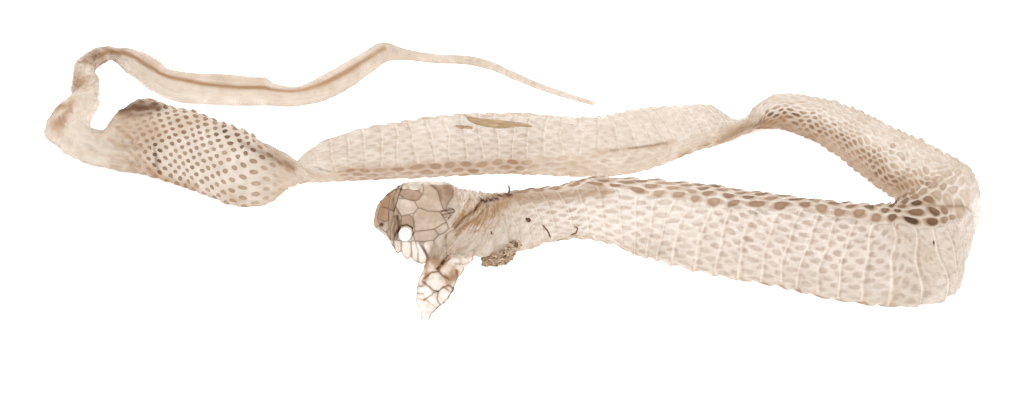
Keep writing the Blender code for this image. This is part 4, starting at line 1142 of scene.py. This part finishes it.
edge_gap = np.minimum(x - left_edge, right_edge - x)
torn = np.exp(-(edge_gap / 0.22) ** 2) * (drop > 1.2)
add_attribute(jaw, "tone", 0.08 + 0.1 * puffs)
add_attribute(jaw, "dot_length", np.ones_like(x))
add_attribute(jaw, "dot_width", np.ones_like(x))
add_attribute(jaw, "pattern", np.zeros_like(x))
root = np.clip((2.0 - drop) / 0.8, 0, 1)
add_attribute(jaw, "cover", 0.37 + 0.12 * puffs + 0.15 * fine + 0.18 * root)
add_attribute(jaw, "veins", 0.6 * root)
add_map(jaw.data.uv_layers.new(name="Folds"), 2.0 * hang, 2.0 * x + 0.7 * hang)
halo = jaw_marked("any", widen=2.6, strengthen=1.0)
add_attribute(jaw, "stain", jaw_marked("stain") + 0.5 * torn + 0.35 * halo
              + 0.25 * np.clip(fine, 0, 1) + 0.05 * root)
add_attribute(jaw, "dirt", jaw_marked("dirt") + 0.2 * torn)
jaw.data.materials.append(keratin)
add_thickness(jaw, 0.12)
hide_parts("shed_skin")
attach(jaw, "root")


# ---------------------------------------------------------------------------------------------
# The clump of soil: damp grains that dried on the skin under the neck, in a crumbly lump that
# holds to it by itself, with bits of root and leaf in it.
# ---------------------------------------------------------------------------------------------

# Lumps it is built of: centre and half sizes, in mm.
CLUMP_LUMPS = [((-2.9, -70.1, 9.3), (3.0, 2.2, 2.2)), ((-5.6, -70.2, 7.8), (2.3, 1.8, 1.5)),
               ((-1.0, -69.6, 10.7), (2.1, 1.9, 1.9)), ((0.9, -68.9, 12.1), (1.5, 1.1, 0.9)),
               ((-3.6, -70.2, 7.3), (1.9, 1.3, 1.1)), ((-7.2, -69.8, 6.7), (1.2, 1.0, 0.8))]


def dry_soil():
    """Dried soil: matt, olive brown, with pale and dark grains."""
    material, tree, output = new_material("dry soil, crumbled")
    place_in = node(tree, "TexCoord").node.outputs["Object"]
    grains = node(tree, "TexVoronoi", place_in, ("Scale", 1500.0)).node.outputs["Color"]
    dark = node(tree, "SeparateColor", grains).node.outputs["Red"]
    shade = with_stops(node(tree, "ValToRGB", dark), [(0.0, "#6B533E"), (0.3, "#9A826A"),
                                                      (0.7, "#B49D82"), (1.0, "#CFBDA4")])
    lumpy = node(tree, "TexNoise", place_in, ("Scale", 1400.0), ("Detail", 6.0))
    bump = node(tree, "Bump", ("Strength", 0.8), ("Distance", 0.4 * MM), ("Height", lumpy))
    surface = node(tree, "BsdfPrincipled", ("Base Color", shade), ("Roughness", 0.95),
                   ("Normal", bump))
    tree.links.new(surface, output.inputs["Surface"])
    return material


def lump(name, material, centre, radii, seed, fineness, roughness):
    """A ball shaped into a crumbly lump: coarse lumps, then grains."""
    bpy.ops.mesh.primitive_ico_sphere_add(subdivisions=fineness, radius=1.0)
    piece = bpy.context.object
    piece.name = piece.data.name = name
    for vertex in piece.data.vertices:
        ball = vertex.co.copy()
        swell = 1 + roughness * (1.3 * noise.noise(ball * 1.7 + Vector((seed, 0, 0)))
                                 + 0.7 * noise.noise(ball * 4.5 + Vector((0, seed, 0)))
                                 + 0.5 * noise.noise(ball * 11.0 + Vector((0, 0, seed))))
        x, y, z = [c + r * b * swell for c, r, b in zip(centre, radii, ball)]
        vertex.co = (Vector((x - LAYOUT_CENTRE[0], y - LAYOUT_CENTRE[1], max(z, 0.05)))) * MM
    piece.data.materials.append(material)
    return piece


soil = dry_soil()
lumps = [lump(f"soil_lump_{number}", soil, centre, radii, 4.0 + 3 * number, 5, 0.34)
         for number, (centre, radii) in enumerate(CLUMP_LUMPS)]
for piece in lumps:
    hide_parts("soil_clump")
    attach(piece, "root")


# ---------------------------------------------------------------------------------------------
# The tears in the far run: two splits in the clear belly skin, through which the inside of the
# back shows. Each is a strip of the brown inner skin set just off the belly, with ragged ends.
# ---------------------------------------------------------------------------------------------

# Each tear by length and by turn: stations along it with its lower and upper edge.
TEARS = {
    "tear_long": [(442.8, 0.334, 0.343), (445.0, 0.334, 0.355), (447.5, 0.332, 0.367),
                  (450.5, 0.327, 0.377), (454.0, 0.323, 0.388), (457.0, 0.331, 0.400),
                  (460.0, 0.345, 0.410), (462.5, 0.362, 0.424), (464.2, 0.385, 0.440),
                  (465.8, 0.455, 0.467)],
    "tear_short": [(463.3, 0.320, 0.334), (464.8, 0.321, 0.345), (466.5, 0.325, 0.351),
                   (467.8, 0.332, 0.356), (468.9, 0.350, 0.358)],
}
TEAR_ROWS, TEAR_STEPS = 10, 90
TEAR_LIFT = 0.25                  # mm off the belly


def inner_skin():
    """The inside of the back, opaque and matt: the brown of its scales, streaked lengthwise."""
    material, tree, output = new_material("inside of the skin, brown")
    place_in = node(tree, "TexCoord").node.outputs["Object"]
    streak_in = node(tree, "Mapping", place_in, ("Scale", (300.0, 1800.0, 1200.0)))
    streaks = node(tree, "TexNoise", streak_in, ("Scale", 1.0), ("Detail", 4.0))
    streaks = node(tree, "MapRange", streaks, 0.3, 0.7)
    tan = node(tree, "Mix", streaks, (6, colour("#8E7355")), (7, colour("#B59A7A")),
               data_type="RGBA")
    surface = node(tree, "BsdfPrincipled", ("Base Color", tan), ("Roughness", 0.7),
                   ("Specular IOR Level", 0.15))
    tree.links.new(surface, output.inputs["Surface"])
    return material


inner = inner_skin()
for name, edges in TEARS.items():
    tear = new_grid(name, TEAR_ROWS, TEAR_STEPS)
    places, low, high = zip(*edges)
    at = np.linspace(places[0], places[-1], TEAR_STEPS + 1)
    level = np.zeros_like(at)
    notch = 0.004 * wavy(np.stack([at * 1.1, level, level], axis=1), 1.0, 6.1)
    low, high = np.interp(at, places, low) + notch, np.interp(at, places, high) - notch
    rise = np.linspace(0, 1, TEAR_ROWS + 1)[None]
    turn = low[:, None] + (high - low)[:, None] * rise
    middle, across, out, half_width, half_thickness = sections(at)
    angle, _ = turns(turn, half_width, half_thickness)
    cosine, sine = np.cos(angle)[..., None], np.sin(angle)[..., None]
    wide, thick = half_width[:, None, None], half_thickness[:, None, None]
    normal = across[:, None] * thick * cosine + out[:, None] * wide * sine
    normal /= np.linalg.norm(normal, axis=2, keepdims=True)
    points = (middle[:, None] + across[:, None] * wide * cosine
              + out[:, None] * thick * sine * (1 - HOLLOW_EDGES * cosine ** 2))
    # The strip follows the dents of the skin it lies on.
    dents = wavy(points.reshape(-1, 3), 14.0, 3.7) + 0.5 * wavy(points.reshape(-1, 3), 6.0, 9.1)
    lift = TEAR_LIFT + dents.reshape(turn.shape) * keyed(DENT_DEPTH, at)[:, None]
    lengths = np.tile(at[:, None], (1, TEAR_ROWS + 1))
    place_vertices(tear, points + normal * lift[..., None], turn, lengths)
    add_thickness(tear, 0.1)
    tear.data.materials.append(inner)
    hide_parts("shed_skin")
    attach(tear, "root")


# ---------------------------------------------------------------------------------------------
# The litter: crumbs of soil, a stalk standing up behind the neck, a bent stick and a curl of
# root, all stuck to the dry skin since the snake crept out of it on the ground.
# ---------------------------------------------------------------------------------------------

# Bits that lie on the skin: length from the snout, mm round from the raised edge, lift and half
# sizes, in mm.
CRUMBS = {"crumb_belly": ((43.2, 12.3, 0.4), (0.75, 0.55, 0.6)),
          "crumb_neck_low": ((29.0, 15.5, 0.3), (0.35, 0.3, 0.45)),
          "crumb_neck_top": ((32.6, 15.2, 0.3), (0.35, 0.3, 0.3)),
          "crumb_bend": ((166.6, 16.6, 0.3), (0.25, 0.25, 0.75))}
# Stalks, each a line of points on the skin with the same three values, and its half width.
STALKS = {"stick": ([(48.0, 14.4, 0.2), (48.9, 15.8, 0.6), (49.8, 17.0, 0.5),
                     (50.6, 18.6, 0.3)], 0.2),
          "root_curl": ([(59.0, 18.9, 0.3), (60.6, 18.4, 0.6), (61.0, 17.2, 0.6),
                         (60.3, 16.6, 0.5)], 0.17),
          "root_hair": ([(53.0, 21.6, 0.1), (55.2, 21.4, 0.4), (57.4, 21.0, 0.3),
                         (58.6, 22.4, 0.2)], 0.15),
          "stalk": ([(44.5, 2.0, 0.0), (44.7, 2.0, 1.4), (44.5, 2.0, 2.7)], 0.26)}


def on_skin(at, mm_round, lift):
    """Point in mm on the smooth skin, by length, mm round from the raised edge and lift."""
    middle, across, out, half_width, half_thickness = sections(np.array([at]))
    _, girth = turns(np.zeros((1, 1)), half_width, half_thickness)
    angle, _ = turns(np.array([[mm_round]]) / girth, half_width, half_thickness)
    sine, cosine = np.sin(angle[0, 0]), np.cos(angle[0, 0])
    raised = float(keyed(RAISED_CUT, at)) if cosine > 0 else 0.0
    normal = across[0] * half_thickness[0] * cosine + out[0] * half_width[0] * sine
    point = middle[0] + across[0] * (half_width[0] - raised) * cosine
    point = point + out[0] * half_thickness[0] * sine * (1 - HOLLOW_EDGES * cosine ** 2)
    return Vector(point + normal / np.linalg.norm(normal) * lift)


def dark_bark():
    """Bits of bark, root and soil, dark brown and matt."""
    material, tree, output = new_material("bark and soil crumbs")
    place_in = node(tree, "TexCoord").node.outputs["Object"]
    flecks = node(tree, "TexNoise", place_in, ("Scale", 1500.0))
    brown = node(tree, "Mix", flecks, (6, colour("#3A2416")), (7, colour("#7A5A3C")),
                 data_type="RGBA")
    surface = node(tree, "BsdfPrincipled", ("Base Color", brown), ("Roughness", 0.9),
                   ("Specular IOR Level", 0.1))
    tree.links.new(surface, output.inputs["Surface"])
    return material


bark = dark_bark()
litter = []
for number, (name, (place, radii)) in enumerate(CRUMBS.items()):
    x, y, z = on_skin(*place)
    centre = (x + LAYOUT_CENTRE[0], y + LAYOUT_CENTRE[1], z)
    litter.append(lump(name, bark, centre, radii, 20.0 + number, 3, 0.35))
for name, (line, half_width) in STALKS.items():
    knots = [on_skin(*place) for place in line]
    steps, sides = 12 * (len(knots) - 1), 10
    stalk = new_grid(name, sides, steps)
    share = np.linspace(0, len(knots) - 1, steps + 1)
    knots = np.array(knots)
    middles = np.stack([np.interp(share, range(len(knots)), knots[:, axis]) for axis in range(3)],
                       axis=1)
    middles += 0.12 * np.stack([wavy(middles, 0.9, seed) for seed in (1.1, 5.2, 9.3)], axis=1)
    along = np.gradient(middles, axis=0)
    along /= np.linalg.norm(along, axis=1, keepdims=True)
    one = np.cross(along, (0.3, 1.0, 0.2))
    one /= np.linalg.norm(one, axis=1, keepdims=True)
    two = np.cross(along, one)
    round_it = np.linspace(0, math.tau, sides + 1)
    ends = np.sqrt(np.clip(1 - np.abs(np.linspace(-1, 1, steps + 1)) ** 8, 0.0, 1))
    reach = half_width * ends * (1 + 0.3 * wavy(middles, 0.6, 3.3))
    points = (middles[:, None] + one[:, None] * (reach[:, None] * np.cos(round_it))[..., None]
              + two[:, None] * (reach[:, None] * np.sin(round_it))[..., None])
    place_vertices(stalk, points, np.tile(round_it, (steps + 1, 1)),
                   np.tile(share[:, None], (1, sides + 1)))
    close_up(stalk, 0.001)
    stalk.data.materials.append(bark)
    litter.append(stalk)
for piece in litter:
    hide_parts("soil_clump")
    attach(piece, "root")


# ---------------------------------------------------------------------------------------------
# Floor, light and camera: a plain pale surface under a large soft light, seen from in front and
# about twenty degrees above, as in the photograph.
# ---------------------------------------------------------------------------------------------

CAMERA_RISE = math.radians(20.0)
CAMERA_DISTANCE = 0.484
LOOK_AT = Vector((0.021, -0.0426, 0.0))
LENS = 52.7                       # mm, on the 36 mm wide sensor

bpy.ops.mesh.primitive_plane_add(size=6.0)
floor = bpy.context.object
floor.name = "floor"
paper, tree, output = new_material("white paper sweep")
white = node(tree, "BsdfPrincipled", ("Base Color", colour("#FFFFFF")), ("Roughness", 0.9),
             ("Emission Color", colour("#FFFFFF")), ("Emission Strength", 0.45))
tree.links.new(white, output.inputs["Surface"])
floor.data.materials.append(paper)


def soft_light(name, place, size, power):
    """A square area light that points at the middle of the layout."""
    bpy.ops.object.light_add(type="AREA", location=place)
    light = bpy.context.object
    light.name = name
    light.data.shape = "SQUARE"
    light.data.size = size
    light.data.energy = power
    light.rotation_euler = (-Vector(place)).to_track_quat("-Z", "Y").to_euler()


soft_light("top_light", (-0.3, 0.3, 1.6), 1.6, 18.0)
soft_light("front_light", (0.6, -1.2, 1.0), 1.2, 6.0)
world = bpy.data.worlds.new("studio")
world.use_nodes = True
world.node_tree.nodes["Background"].inputs["Color"].default_value = (1.0, 1.0, 1.0, 1.0)
world.node_tree.nodes["Background"].inputs["Strength"].default_value = 0.85
bpy.context.scene.world = world
bpy.context.scene.view_settings.view_transform = "Standard"

bpy.ops.object.camera_add(rotation=(math.pi / 2 - CAMERA_RISE, 0, 0))
camera = bpy.context.object
camera.location = LOOK_AT + CAMERA_DISTANCE * Vector((0, -math.cos(CAMERA_RISE),
                                                      math.sin(CAMERA_RISE)))
camera.data.lens = LENS
camera.data.clip_start = 0.01
bpy.context.scene.camera = camera
